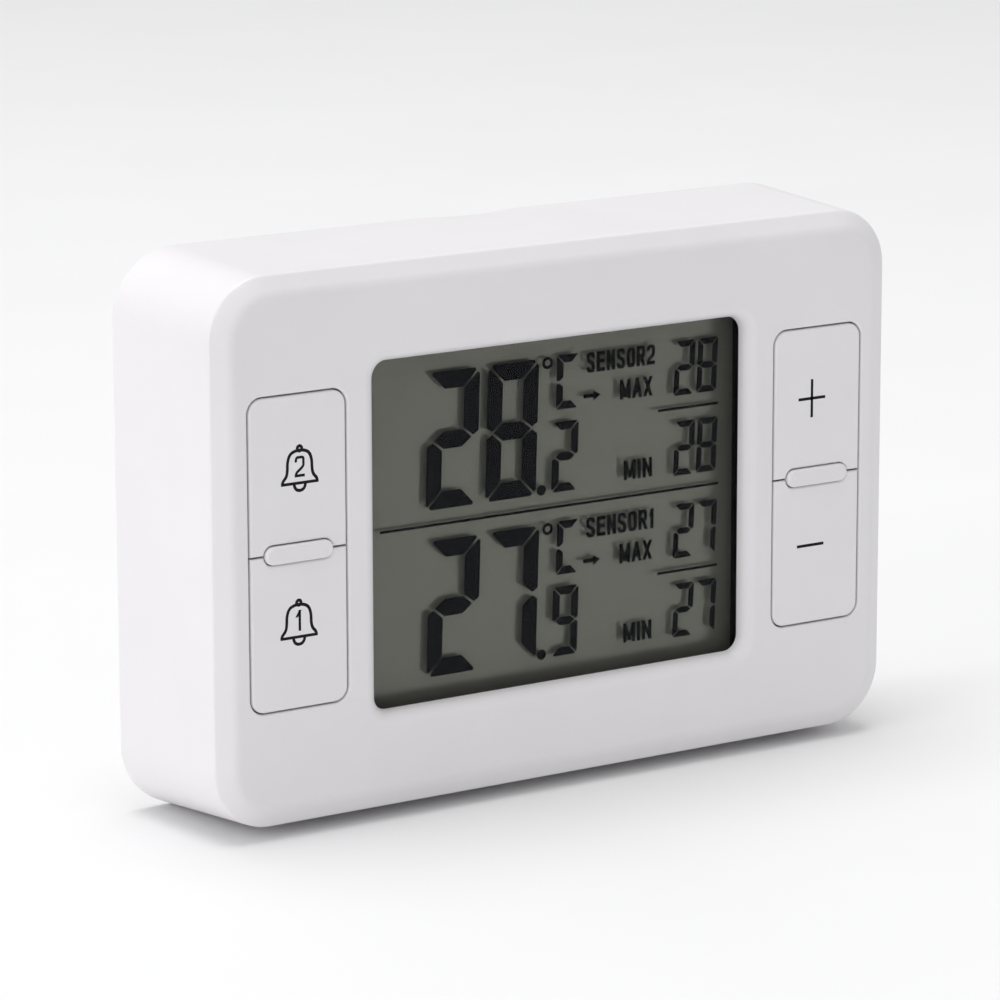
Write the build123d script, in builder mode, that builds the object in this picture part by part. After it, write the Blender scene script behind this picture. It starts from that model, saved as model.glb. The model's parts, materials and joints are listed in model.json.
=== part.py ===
from build123d import *
import os

# Display unit of a maximum and minimum thermometer, in millimetres.
# X runs to the right, Y from the front face towards the back and Z up.
# The origin is on the ground, under the middle of the unit's box.
# A depth is measured from the flat front face backwards, and a level from the face's middle upwards.

# Case
WIDTH = 92.0
HEIGHT = 62.7
DEPTH = 19.6
SIDE_DRAFT = 1.4
TOP_DRAFT = 0.73
BOTTOM_DRAFT = 1.5
REAR_CORNER = 7.6
FACE_CORNER = 6.8
BEVEL_WIDTH = 2.0
BEVEL_DEPTH = 1.26
FACE_BLEND = 2.2
RIM_BLEND = 0.45
WALL = 1.8
FACE_WALL = 1.7
NOTCH_WIDTH = 12.0
NOTCH_DROP = 0.25
NOTCH_LENGTH = 2.4

# Keys, two on each side of the display, with a raised rib between each pair
PAD_EDGE = 11.4
PAD_WIDTH = 12.4
PAD_END = 13.95
PAD_CORNER = 1.8
PAD_TO_WINDOW = 3.8
KEY_GAP = 0.18
KEY_ROUND = 0.3
KEY_TRAVEL = 0.4
FLANGE = 0.6
FLANGE_REACH = 0.8
REBATE_THICKNESS = 0.85
REBATE_HALF = 2.0
RIB_LENGTH = 8.4
RIB_HEIGHT = 2.0
RIB_PROUD = 0.37
RIB_GAP = 0.12
BRIDGE_THICKNESS = 1.1
BRIDGE_HALF = 1.7
BRIDGE_HOLD = 1.2
MOVING_GAP = 0.1

# Tactile switches on the main board
SWITCH_SIDE = 6.0
SWITCH_HEIGHT = 2.0
PLUNGER_RADIUS = 1.6
PLUNGER_STAND = 0.7
PLUNGER_LENGTH = 1.4
PLUNGER_FIT = 0.08
SWITCH_BASE = 0.6

# Display
WINDOW_END = 11.88
WINDOW_CORNER = 1.8
WINDOW_FLARE = 1.6
LENS_MARGIN = 1.9
LENS_CORNER = 1.0
LENS_THICKNESS = 0.8
GLASS_MARGIN = 1.0
GLASS_THICKNESS = 0.7
GLASS_LEDGE = 2.4
FILM_THICKNESS = 0.2
REFLECTOR_THICKNESS = 0.25
STACK_GAP = 0.1
ZEBRA_THICKNESS = 1.6
ZEBRA_END = 2.0
FRAME_WALL = 1.3
GLASS_TO_BOARD = 0.75

# Main board and its components
BOARD_THICKNESS = 1.0
BOARD_SIDE_GAP = 0.8
BOARD_END_GAP = 2.4
BOARD_BOSS_RADIUS = 2.2
BOARD_SCREW_EDGE_X = 15.4
BOARD_SCREW_EDGE_Z = 8.75
BOARD_SCREW_RADIUS = 0.85
BOARD_SCREW_LENGTH = 4.4
BOARD_HEAD_RADIUS = 1.8
BOARD_HEAD_HEIGHT = 1.1
CHIP_LEVEL = 21.5
BLOB_X = -14.0
BLOB_RADIUS = 3.9
BLOB_HEIGHT = 1.2
BLOB_ROUND = 1.0
CRYSTAL_X = -4.0
CRYSTAL_RADIUS = 1.0
CRYSTAL_LENGTH = 6.0
CHIP_LENGTH = 2.0
CHIP_WIDTH = 1.2
CHIP_HEIGHT = 0.6
CHIP_START_X = 4.0
CHIP_PITCH_X = 3.4
CHIP_PITCH_Z = 3.2
CHIP_COLUMNS = 7
CAPACITOR_RADIUS = 2.5
CAPACITOR_HEIGHT = 7.0
CAPACITOR_ROUND = 0.4
CAPACITOR_LEVEL = -13.0
CAPACITOR_SHIFT = 1.0
SCREW_FIT = 0.05
SCREW_PASS = 0.2

# Case screws
SCREW_EDGE_X = 7.0
SCREW_EDGE_Z = 6.9
BOSS_RADIUS = 3.0
SCREW_RADIUS = 1.25
SCREW_LENGTH = 9.5
HEAD_RADIUS = 2.3
HEAD_HEIGHT = 1.4
HEAD_CLEARANCE = 0.3
HEAD_ROUND = 0.5
CROSS_WIDTH = 0.7
CROSS_LENGTH = 2.8
CROSS_DEPTH = 0.8
CUP_WALL = 0.8
CUP_FLOOR = 1.4
CUP_DEPTH = 2.0

# Rear cover
COVER = 1.6
COVER_GAP = 0.15

# Battery compartment for two AAA cells
CELL_RADIUS = 5.25
CELL_BODY = 43.5
CELL_NUB = 1.0
CELL_NUB_RADIUS = 1.9
CELL_GAP = 0.2
WELL_WALL = 1.6
WELL_FLOOR = 0.8
WELL_SPARE = 0.8
CELL_ROUND = 0.4
DOOR_LEVEL = 3.9
DOOR_THICKNESS = 1.2
DOOR_GAP = 0.2
DOOR_SEAT = 0.1
SEAT_LEDGE_X = 0.9
SEAT_LEDGE_Z = 1.1
TONGUE_X = 15.0
TONGUE_WIDTH = 6.0
TONGUE_REACH = 1.2
TONGUE_THICKNESS = 0.7
TONGUE_SWING = 0.5
DOOR_CORNER = 0.3
GRIP_WIDTH = 12.0
GRIP_HEIGHT = 4.4
GRIP_DEPTH = 0.5
GRIP_CORNER = 2.0
GRIP_EDGE = 4.0
GRIP_BAR_LENGTH = 9.0
GRIP_BAR_WIDTH = 0.5
GRIP_BAR_HEIGHT = 0.4
GRIP_BAR_PITCH = 1.2
CONTACT = 0.3
CONTACT_DIMPLE = 0.5
DIMPLE_RADIUS = 1.5
CONTACT_WIDTH = 8.4
CONTACT_END = 4.0
TAB_WIDTH = 2.0
TAB_ROOM = 0.2
SPRING_LENGTH = 4.9
SPRING_WIRE = 0.25
SPRING_COILS = 4
SPRING_RADIUS = 3.4
SPRING_TAPER = -16

# Fold-out stand
STAND_WIDTH = 30.0
STAND_THICKNESS = 2.2
STAND_LENGTH = 16.5
STAND_EDGE = 3.6
STAND_GAP = 0.3
STAND_SINK = 0.2
STAND_FLOOR = 1.2
TRUNNION_RADIUS = 0.8
TRUNNION_LENGTH = 1.1
TRUNNION_FIT = 0.06
THUMB_RADIUS = 4.5
STAND_ROUND = 0.4

# Hanging keyhole, magnets and sounder
KEYHOLE_LEVEL = 20.6
KEYHOLE_RADIUS = 3.2
KEYHOLE_SLOT_RADIUS = 1.8
KEYHOLE_LIFT = 4.8
MAGNET_X = 28.0
MAGNET_LEVEL = -19.0
MAGNET_RADIUS = 6.0
MAGNET_THICKNESS = 2.0
MAGNET_SINK = 0.1
MAGNET_ROUND = 0.2
PIEZO_EDGE = 10.6
PIEZO_RADIUS = 7.0
PIEZO_THICKNESS = 0.25
CERAMIC_RADIUS = 4.8
CERAMIC_THICKNESS = 0.2
PIEZO_CAVITY = 1.0
SOUND_SLOT = 1.0
SOUND_PITCH = 2.0
SOUND_STEP = 1.2
LEAD_RADIUS = 0.45
LEAD_BEND = 1.2
LEAD_JOG = 1.5
LEAD_SHIFT = 2.4

# Radio receiver
RECEIVER_WIDTH = 13.0
RECEIVER_HEIGHT = 22.0
RECEIVER_THICKNESS = 0.8
RECEIVER_EDGE = 10.8
RECEIVER_LEVEL = 3.0
RECEIVER_STAND = 2.2
PIN_RADIUS = 0.3
PIN_PITCH = 2.54
AERIAL_RADIUS = 2.3
AERIAL_WIRE = 0.35
AERIAL_LENGTH = 20.0
AERIAL_COILS = 9
AERIAL_DEPTH = 12.0
AERIAL_LEVEL = 22.6
AERIAL_START = 9.0
PIN_EDGE = 1.5
PIN_TAIL = 0.8
RADIO_CHIP_WIDTH = 4.0
RADIO_CHIP_HEIGHT = 5.0
RADIO_CHIP_THICKNESS = 1.2
RADIO_CHIP_SHIFT = (-2.5, -1.0)
RADIO_CRYSTAL_WIDTH = 4.4
RADIO_CRYSTAL_HEIGHT = 3.4
RADIO_CRYSTAL_LENGTH = 3.0
RADIO_CRYSTAL_CORNER = 1.6
RADIO_CRYSTAL_SHIFT = (3.0, 1.0)

# What follows from the sizes above
FACE_Y = RIB_PROUD - (DEPTH + RIB_PROUD) / 2
FACE_Z = (HEIGHT - TOP_DRAFT + BOTTOM_DRAFT) / 2
PAD_X = WIDTH / 2 - PAD_EDGE
PAD_HEIGHT = HEIGHT - 2 * PAD_END
SWITCH_LEVEL = PAD_HEIGHT / 4
WINDOW_WIDTH = 2 * (PAD_X - PAD_WIDTH / 2 - PAD_TO_WINDOW)
WINDOW_HEIGHT = HEIGHT - 2 * WINDOW_END
LENS_DEPTH = FACE_WALL
FILM_DEPTH = LENS_DEPTH + LENS_THICKNESS + STACK_GAP
FRONT_GLASS_DEPTH = FILM_DEPTH + FILM_THICKNESS
REAR_GLASS_DEPTH = FRONT_GLASS_DEPTH + GLASS_THICKNESS
REFLECTOR_DEPTH = REAR_GLASS_DEPTH + GLASS_THICKNESS
BOARD_DEPTH = REFLECTOR_DEPTH + REFLECTOR_THICKNESS + GLASS_TO_BOARD
BOARD_BACK = BOARD_DEPTH + BOARD_THICKNESS
KEY_BACK = FACE_WALL + MOVING_GAP + FLANGE
SWITCH_DEPTH = BOARD_DEPTH - SWITCH_HEIGHT
PLUNGER_DEPTH = SWITCH_DEPTH - PLUNGER_STAND
BRIDGE_DEPTH = REBATE_THICKNESS + KEY_TRAVEL + MOVING_GAP
GLASS_WIDTH = WINDOW_WIDTH + 2 * GLASS_MARGIN
GLASS_HEIGHT = WINDOW_HEIGHT + 2 * GLASS_MARGIN
BOARD_SCREW_X = WIDTH / 2 - BOARD_SCREW_EDGE_X
BOARD_SCREW_LEVEL = HEIGHT / 2 - BOARD_SCREW_EDGE_Z
COVER_DEPTH = DEPTH - COVER
SCREW_X = WIDTH / 2 - SCREW_EDGE_X
SCREW_LEVEL = HEIGHT / 2 - SCREW_EDGE_Z
SEAT_DEPTH = DEPTH - CUP_DEPTH
BOSS_TOP = SEAT_DEPTH - CUP_FLOOR
DOOR_DEPTH = DEPTH - DOOR_THICKNESS
CELL_DEPTH = DOOR_DEPTH - CELL_GAP - CELL_RADIUS
WELL_DEPTH = CELL_DEPTH - CELL_RADIUS - CELL_GAP
CELL_LEVEL = CELL_RADIUS + CELL_GAP / 2
WELL_LENGTH = CELL_BODY + CELL_NUB + CONTACT_DIMPLE + SPRING_LENGTH + 2 * CONTACT
WELL_HEIGHT = 4 * CELL_RADIUS + 3 * CELL_GAP + WELL_SPARE
SEAT_WIDTH = WELL_LENGTH + 2 * SEAT_LEDGE_X
SEAT_HEIGHT = WELL_HEIGHT + 2 * SEAT_LEDGE_Z
DOOR_WIDTH = SEAT_WIDTH - 2 * DOOR_GAP
DOOR_HEIGHT = SEAT_HEIGHT - 2 * DOOR_GAP
STAND_HINGE = -HEIGHT / 2 + STAND_EDGE + STAND_THICKNESS / 2
STAND_DEPTH = DEPTH - STAND_SINK - STAND_THICKNESS
STAND_LEVEL = STAND_HINGE - STAND_THICKNESS / 2 + STAND_LENGTH / 2
RECESS_DEPTH = STAND_DEPTH - STAND_SINK
PIEZO_X = -(WIDTH / 2 - PIEZO_EDGE)
PIEZO_DEPTH = COVER_DEPTH - PIEZO_CAVITY - PIEZO_THICKNESS
RECEIVER_X = WIDTH / 2 - RECEIVER_EDGE
RECEIVER_DEPTH = BOARD_BACK + RECEIVER_STAND
RECEIVER_BACK = RECEIVER_DEPTH + RECEIVER_THICKNESS
LEAD_X = PIEZO_X + LEAD_SHIFT
RED_START = (PIEZO_X, DOOR_LEVEL + 2.0, PIEZO_DEPTH - CERAMIC_THICKNESS)
RED_END = (LEAD_X, DOOR_LEVEL + 6.0, BOARD_BACK)
BLACK_START = (PIEZO_X, DOOR_LEVEL - 6.0, PIEZO_DEPTH)
BLACK_END = (LEAD_X, DOOR_LEVEL - 9.0, BOARD_BACK)
SIDES = (-1, 1)


def face_plane(depth):
    """Plane parallel to the front face, that far behind it, with its normal out of the front."""
    return Plane(origin=(0, FACE_Y + depth, FACE_Z), x_dir=(1, 0, 0), z_dir=(0, -1, 0))


def spot(x, level, depth):
    """Point in the unit's own frame."""
    return (x, FACE_Y + depth, FACE_Z + level)


def case_outline(depth, inset=0.0):
    """Rounded section of the drafted case at a depth, pulled in by an inset."""
    lean = (DEPTH - depth) / DEPTH
    half_width = WIDTH / 2 - SIDE_DRAFT * lean - inset
    top = HEIGHT - TOP_DRAFT * lean - inset
    bottom = BOTTOM_DRAFT * lean + inset
    corner = REAR_CORNER - (REAR_CORNER - FACE_CORNER) * lean - inset
    with BuildSketch(face_plane(depth)) as outline:
        with Locations((0, (top + bottom) / 2 - FACE_Z)):
            RectangleRounded(2 * half_width, top - bottom, corner)
    return outline.sketch


def drafted_block(near, far, mode=Mode.ADD):
    """Loft between two outlines, its flat sides true planes, in the part being built."""
    body = loft([near, far], ruled=True, mode=Mode.PRIVATE)
    sides = [Face(side.outer_wire()) if side.is_planar else side for side in body.faces()]
    add(Solid(Shell(sides)), mode=mode)


def block(width, height, depth, thickness, at=(0, 0), corner=0.0, mode=Mode.ADD):
    """Plate parallel to the face, from a depth backwards, in the part being built."""
    with BuildSketch(face_plane(depth)) as outline:
        with Locations(at):
            if corner > 0:
                RectangleRounded(width, height, corner)
            else:
                Rectangle(width, height)
    extrude(outline.sketch, amount=-thickness, mode=mode)


def disc(radius, depth, thickness, at=(0, 0), mode=Mode.ADD):
    """Round plate parallel to the face, from a depth backwards, in the part being built."""
    with BuildSketch(face_plane(depth)) as outline:
        with Locations(at):
            Circle(radius)
    extrude(outline.sketch, amount=-thickness, mode=mode)


def rod_along_x(radius, length, x, level, depth, mode=Mode.ADD):
    """Round bar along X, centred on a point, in the part being built."""
    with Locations(Location(spot(x, level, depth), (0, 90, 0))):
        Cylinder(radius, length, mode=mode)


def edges_at(part, depth, x=0.0, level=0.0, width=None, height=None):
    """Edges that lie in a plane parallel to the face, within a rectangle if one is given."""
    y = FACE_Y + depth
    found = part.edges().filter_by_position(Axis.Y, y - 0.001, y + 0.001)
    if width is None:
        return found
    return found.filter_by(
        lambda edge: abs(edge.center().X - x) < width / 2 + KEY_GAP
        and abs(edge.center().Z - FACE_Z - level) < height / 2 + KEY_GAP
    )


def four_spots(x, level):
    """The four mirrored places of a screw."""
    return [(side * x, end * level) for side in SIDES for end in SIDES]


# Front shell: face, sides, window, key openings, ribs and bosses in one moulding
with BuildPart() as front_shell:
    drafted_block(case_outline(0, BEVEL_WIDTH), case_outline(BEVEL_DEPTH))
    drafted_block(case_outline(BEVEL_DEPTH), case_outline(DEPTH))
    fillet(edges_at(front_shell, BEVEL_DEPTH), RIM_BLEND)
    fillet(edges_at(front_shell, 0), FACE_BLEND)
    drafted_block(case_outline(FACE_WALL, WALL), case_outline(DEPTH, WALL), Mode.SUBTRACT)
    block(WINDOW_WIDTH, WINDOW_HEIGHT, 0, FACE_WALL, corner=WINDOW_CORNER, mode=Mode.SUBTRACT)
    fillet(edges_at(front_shell, 0, 0, 0, WINDOW_WIDTH, WINDOW_HEIGHT), WINDOW_FLARE)
    for side in SIDES:
        pad = (side * PAD_X, 0)
        block(PAD_WIDTH, PAD_HEIGHT, 0, FACE_WALL, pad, PAD_CORNER, Mode.SUBTRACT)
        fillet(edges_at(front_shell, 0, pad[0], 0, PAD_WIDTH, PAD_HEIGHT), KEY_ROUND)
    for side in SIDES:
        pad = (side * PAD_X, 0)
        block(PAD_WIDTH + 2 * BRIDGE_HOLD, 2 * BRIDGE_HALF, BRIDGE_DEPTH, BRIDGE_THICKNESS, pad)
        with BuildSketch(face_plane(-RIB_PROUD)) as rib:
            with Locations(pad):
                SlotOverall(RIB_LENGTH, RIB_HEIGHT)
        extrude(rib.sketch, amount=-(RIB_PROUD + BRIDGE_DEPTH))
        fillet(edges_at(front_shell, -RIB_PROUD, pad[0], 0, PAD_WIDTH, PAD_HEIGHT), RIB_PROUD * 0.9)
    for place in four_spots(SCREW_X, SCREW_LEVEL):
        disc(BOSS_RADIUS, FACE_WALL, BOSS_TOP - FACE_WALL, place)
        disc(SCREW_RADIUS + SCREW_FIT, BOSS_TOP - SCREW_LENGTH, SCREW_LENGTH, place, Mode.SUBTRACT)
    for place in four_spots(BOARD_SCREW_X, BOARD_SCREW_LEVEL):
        disc(BOARD_BOSS_RADIUS, FACE_WALL, BOARD_DEPTH - FACE_WALL, place)
        disc(BOARD_SCREW_RADIUS + SCREW_FIT, FACE_WALL, BOARD_DEPTH - FACE_WALL, place, Mode.SUBTRACT)
    notch_radius = (NOTCH_WIDTH**2 / 4 + NOTCH_DROP**2) / (2 * NOTCH_DROP)
    notch_level = HEIGHT - FACE_Z - NOTCH_DROP + notch_radius
    disc(notch_radius, DEPTH - NOTCH_LENGTH, NOTCH_LENGTH, (0, notch_level), Mode.SUBTRACT)
front_shell.part.label = "front_shell"


def make_key(side, end):
    """One key: a cap in its half of the opening, with a flange that keeps it behind the face."""
    pad = (side * PAD_X, 0)
    with BuildPart() as key:
        block(PAD_WIDTH - 2 * KEY_GAP, PAD_HEIGHT - 2 * KEY_GAP, 0, KEY_BACK, pad, PAD_CORNER - KEY_GAP)
        block(
            PAD_WIDTH + 2 * FLANGE_REACH,
            PAD_HEIGHT + 2 * FLANGE_REACH,
            KEY_BACK - FLANGE,
            FLANGE,
            pad,
            PAD_CORNER,
        )
        other_half = (side * PAD_X, -end * (PAD_HEIGHT - KEY_GAP) / 2)
        block(2 * PAD_WIDTH, PAD_HEIGHT, 0, KEY_BACK, other_half, mode=Mode.SUBTRACT)
        with BuildSketch(face_plane(0)) as rib_room:
            with Locations(pad):
                SlotOverall(RIB_LENGTH + 2 * RIB_GAP, RIB_HEIGHT + 2 * RIB_GAP)
        extrude(rib_room.sketch, amount=-KEY_BACK, mode=Mode.SUBTRACT)
        rebate = KEY_BACK - REBATE_THICKNESS
        block(2 * PAD_WIDTH, 2 * REBATE_HALF, REBATE_THICKNESS, rebate, pad, mode=Mode.SUBTRACT)
        fillet(edges_at(key, 0), KEY_ROUND)
        switch = (side * PAD_X, end * SWITCH_LEVEL)
        disc(PLUNGER_RADIUS, KEY_BACK, PLUNGER_DEPTH - KEY_BACK, switch)
    return key.part


def make_plunger(side, end):
    """The moving stem of a tactile switch."""
    with BuildPart() as plunger:
        disc(PLUNGER_RADIUS, PLUNGER_DEPTH, PLUNGER_LENGTH, (side * PAD_X, end * SWITCH_LEVEL))
    return plunger.part


def make_switch(side, end):
    """The fixed body of a tactile switch, open for its stem."""
    place = (side * PAD_X, end * SWITCH_LEVEL)
    with BuildPart() as switch:
        block(SWITCH_SIDE, SWITCH_SIDE, SWITCH_DEPTH, SWITCH_HEIGHT, place)
        well = SWITCH_HEIGHT - SWITCH_BASE
        disc(PLUNGER_RADIUS + PLUNGER_FIT, SWITCH_DEPTH, well, place, Mode.SUBTRACT)
    return switch.part


# Display, from the clear window back to the reflector
with BuildPart() as display_window:
    lens_width = WINDOW_WIDTH + 2 * LENS_MARGIN
    lens_height = WINDOW_HEIGHT + 2 * LENS_MARGIN
    block(lens_width, lens_height, LENS_DEPTH, LENS_THICKNESS, corner=LENS_CORNER)
display_window.part.label = "display_window"

with BuildPart() as lcd_front_polariser:
    block(GLASS_WIDTH, GLASS_HEIGHT, FILM_DEPTH, FILM_THICKNESS)
lcd_front_polariser.part.label = "lcd_front_polariser"

with BuildPart() as lcd_front_glass:
    ledge = (0, GLASS_LEDGE / 2)
    block(GLASS_WIDTH, GLASS_HEIGHT + GLASS_LEDGE, FRONT_GLASS_DEPTH, GLASS_THICKNESS, ledge)
lcd_front_glass.part.label = "lcd_front_glass"

with BuildPart() as lcd_rear_glass:
    block(GLASS_WIDTH, GLASS_HEIGHT, REAR_GLASS_DEPTH, GLASS_THICKNESS)
lcd_rear_glass.part.label = "lcd_rear_glass"

with BuildPart() as lcd_reflector:
    block(GLASS_WIDTH, GLASS_HEIGHT, REFLECTOR_DEPTH, REFLECTOR_THICKNESS)
lcd_reflector.part.label = "lcd_reflector"

with BuildPart() as zebra_strip:
    zebra_level = (0, GLASS_HEIGHT / 2 + GLASS_LEDGE / 2 + STACK_GAP)
    zebra_width = GLASS_WIDTH - 2 * ZEBRA_END
    block(zebra_width, ZEBRA_THICKNESS, REAR_GLASS_DEPTH, BOARD_DEPTH - REAR_GLASS_DEPTH, zebra_level)
zebra_strip.part.label = "zebra_strip"

with BuildPart() as lcd_frame:
    frame_place = (0, GLASS_LEDGE / 2)
    room_width = GLASS_WIDTH + 2 * STACK_GAP
    room_height = GLASS_HEIGHT + GLASS_LEDGE + 2 * STACK_GAP
    frame_thickness = BOARD_DEPTH - FILM_DEPTH
    frame_size = (room_width + 2 * FRAME_WALL, room_height + 2 * FRAME_WALL)
    block(*frame_size, FILM_DEPTH, frame_thickness, frame_place)
    block(room_width, room_height, FILM_DEPTH, frame_thickness, frame_place, mode=Mode.SUBTRACT)
lcd_frame.part.label = "lcd_frame"

# Main board and what is soldered to it
with BuildPart() as main_board:
    board_half_width = WIDTH / 2 - SIDE_DRAFT - WALL - BOARD_SIDE_GAP
    board_half_height = (HEIGHT - TOP_DRAFT - BOTTOM_DRAFT) / 2 - WALL - BOARD_END_GAP
    block(2 * board_half_width, 2 * board_half_height, BOARD_DEPTH, BOARD_THICKNESS)
    corner_x = (board_half_width + SCREW_X - BOSS_RADIUS) / 2
    corner_level = (board_half_height + SCREW_LEVEL - BOSS_RADIUS) / 2
    corner_width = board_half_width - SCREW_X + BOSS_RADIUS + 2 * BOARD_SIDE_GAP
    corner_height = board_half_height - SCREW_LEVEL + BOSS_RADIUS + 2 * BOARD_SIDE_GAP
    for place in four_spots(corner_x, corner_level):
        block(corner_width, corner_height, BOARD_DEPTH, BOARD_THICKNESS, place, mode=Mode.SUBTRACT)
    for place in four_spots(BOARD_SCREW_X, BOARD_SCREW_LEVEL):
        disc(BOARD_SCREW_RADIUS + SCREW_PASS, BOARD_DEPTH, BOARD_THICKNESS, place, Mode.SUBTRACT)
main_board.part.label = "main_board"

with BuildPart() as board_screws:
    for place in four_spots(BOARD_SCREW_X, BOARD_SCREW_LEVEL):
        disc(BOARD_HEAD_RADIUS, BOARD_BACK, BOARD_HEAD_HEIGHT, place)
        disc(BOARD_SCREW_RADIUS, BOARD_BACK - BOARD_SCREW_LENGTH, BOARD_SCREW_LENGTH, place)
board_screws.part.label = "board_screws"

with BuildPart() as controller_blob:
    disc(BLOB_RADIUS, BOARD_BACK, BLOB_HEIGHT, (BLOB_X, CHIP_LEVEL))
    fillet(edges_at(controller_blob, BOARD_BACK + BLOB_HEIGHT), BLOB_ROUND)
controller_blob.part.label = "controller_blob"

with BuildPart() as board_crystal:
    crystal_level = CHIP_LEVEL - 2 * CRYSTAL_RADIUS
    crystal_depth = BOARD_BACK + CRYSTAL_RADIUS
    rod_along_x(CRYSTAL_RADIUS, CRYSTAL_LENGTH, CRYSTAL_X, crystal_level, crystal_depth)
board_crystal.part.label = "board_crystal"

with BuildPart() as board_chips:
    for column in range(CHIP_COLUMNS):
        for row in SIDES:
            chip_x = CHIP_START_X + CHIP_PITCH_X * column
            chip_place = (chip_x, CHIP_LEVEL + row * CHIP_PITCH_Z / 2)
            block(CHIP_LENGTH, CHIP_WIDTH, BOARD_BACK, CHIP_HEIGHT, chip_place)
board_chips.part.label = "board_chips"

with BuildPart() as filter_capacitor:
    capacitor_place = (PIEZO_X + CAPACITOR_SHIFT, CAPACITOR_LEVEL)
    disc(CAPACITOR_RADIUS, BOARD_BACK, CAPACITOR_HEIGHT, capacitor_place)
    fillet(edges_at(filter_capacitor, BOARD_BACK + CAPACITOR_HEIGHT), CAPACITOR_ROUND)
filter_capacitor.part.label = "filter_capacitor"

# Radio receiver on its own small board, with a coiled aerial
with BuildPart() as receiver_board:
    receiver_place = (RECEIVER_X, RECEIVER_LEVEL)
    block(RECEIVER_WIDTH, RECEIVER_HEIGHT, RECEIVER_DEPTH, RECEIVER_THICKNESS, receiver_place)
    pin_level = RECEIVER_LEVEL - RECEIVER_HEIGHT / 2 + PIN_EDGE
    pin_places = [(RECEIVER_X + PIN_PITCH * (n - 1.5), pin_level) for n in range(4)]
    for place in pin_places:
        disc(PIN_RADIUS + SCREW_FIT, RECEIVER_DEPTH, RECEIVER_THICKNESS, place, Mode.SUBTRACT)
receiver_board.part.label = "receiver_board"

with BuildPart() as receiver_pins:
    for place in pin_places:
        disc(PIN_RADIUS, BOARD_BACK, RECEIVER_STAND + RECEIVER_THICKNESS + PIN_TAIL, place)
receiver_pins.part.label = "receiver_pins"

with BuildPart() as receiver_chip:
    radio_chip_place = (RECEIVER_X + RADIO_CHIP_SHIFT[0], RECEIVER_LEVEL + RADIO_CHIP_SHIFT[1])
    radio_chip_size = (RADIO_CHIP_WIDTH, RADIO_CHIP_HEIGHT)
    block(*radio_chip_size, RECEIVER_BACK, RADIO_CHIP_THICKNESS, radio_chip_place)
receiver_chip.part.label = "receiver_chip"

with BuildPart() as receiver_crystal:
    can_place = (RECEIVER_X + RADIO_CRYSTAL_SHIFT[0], RECEIVER_LEVEL + RADIO_CRYSTAL_SHIFT[1])
    can_size = (RADIO_CRYSTAL_WIDTH, RADIO_CRYSTAL_HEIGHT)
    block(*can_size, RECEIVER_BACK, RADIO_CRYSTAL_LENGTH, can_place, RADIO_CRYSTAL_CORNER)
receiver_crystal.part.label = "receiver_crystal"

aerial_pitch = AERIAL_LENGTH / AERIAL_COILS
aerial_start = spot(AERIAL_START, AERIAL_LEVEL, AERIAL_DEPTH)
aerial_path = Helix(aerial_pitch, AERIAL_LENGTH, AERIAL_RADIUS, center=aerial_start, direction=(1, 0, 0))
with BuildPart() as aerial_coil:
    with BuildSketch(Plane(origin=aerial_path @ 0, z_dir=aerial_path % 0)) as aerial_wire:
        Circle(AERIAL_WIRE)
    sweep(aerial_wire.sketch, path=aerial_path, is_frenet=True)
aerial_coil.part.label = "aerial_coil"

# Sounder behind the slots of the rear cover
with BuildPart() as piezo_plate:
    disc(PIEZO_RADIUS, PIEZO_DEPTH, PIEZO_THICKNESS, (PIEZO_X, DOOR_LEVEL))
piezo_plate.part.label = "piezo_plate"

with BuildPart() as piezo_ceramic:
    disc(CERAMIC_RADIUS, PIEZO_DEPTH - CERAMIC_THICKNESS, CERAMIC_THICKNESS, (PIEZO_X, DOOR_LEVEL))
piezo_ceramic.part.label = "piezo_ceramic"


def make_lead(start, end):
    """A short insulated wire from the sounder forward to the main board."""
    middle = (start[2] + end[2]) / 2
    points = [
        spot(*start),
        spot(start[0], start[1], middle + LEAD_JOG),
        spot(end[0], end[1], middle - LEAD_JOG),
        spot(*end),
    ]
    with BuildPart() as lead:
        with BuildLine() as route:
            FilletPolyline(*points, radius=LEAD_BEND)
        with BuildSketch(Plane(origin=route.line @ 0, z_dir=route.line % 0)) as wire:
            Circle(LEAD_RADIUS)
        sweep(wire.sketch, path=route.line)
    return lead.part


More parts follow.
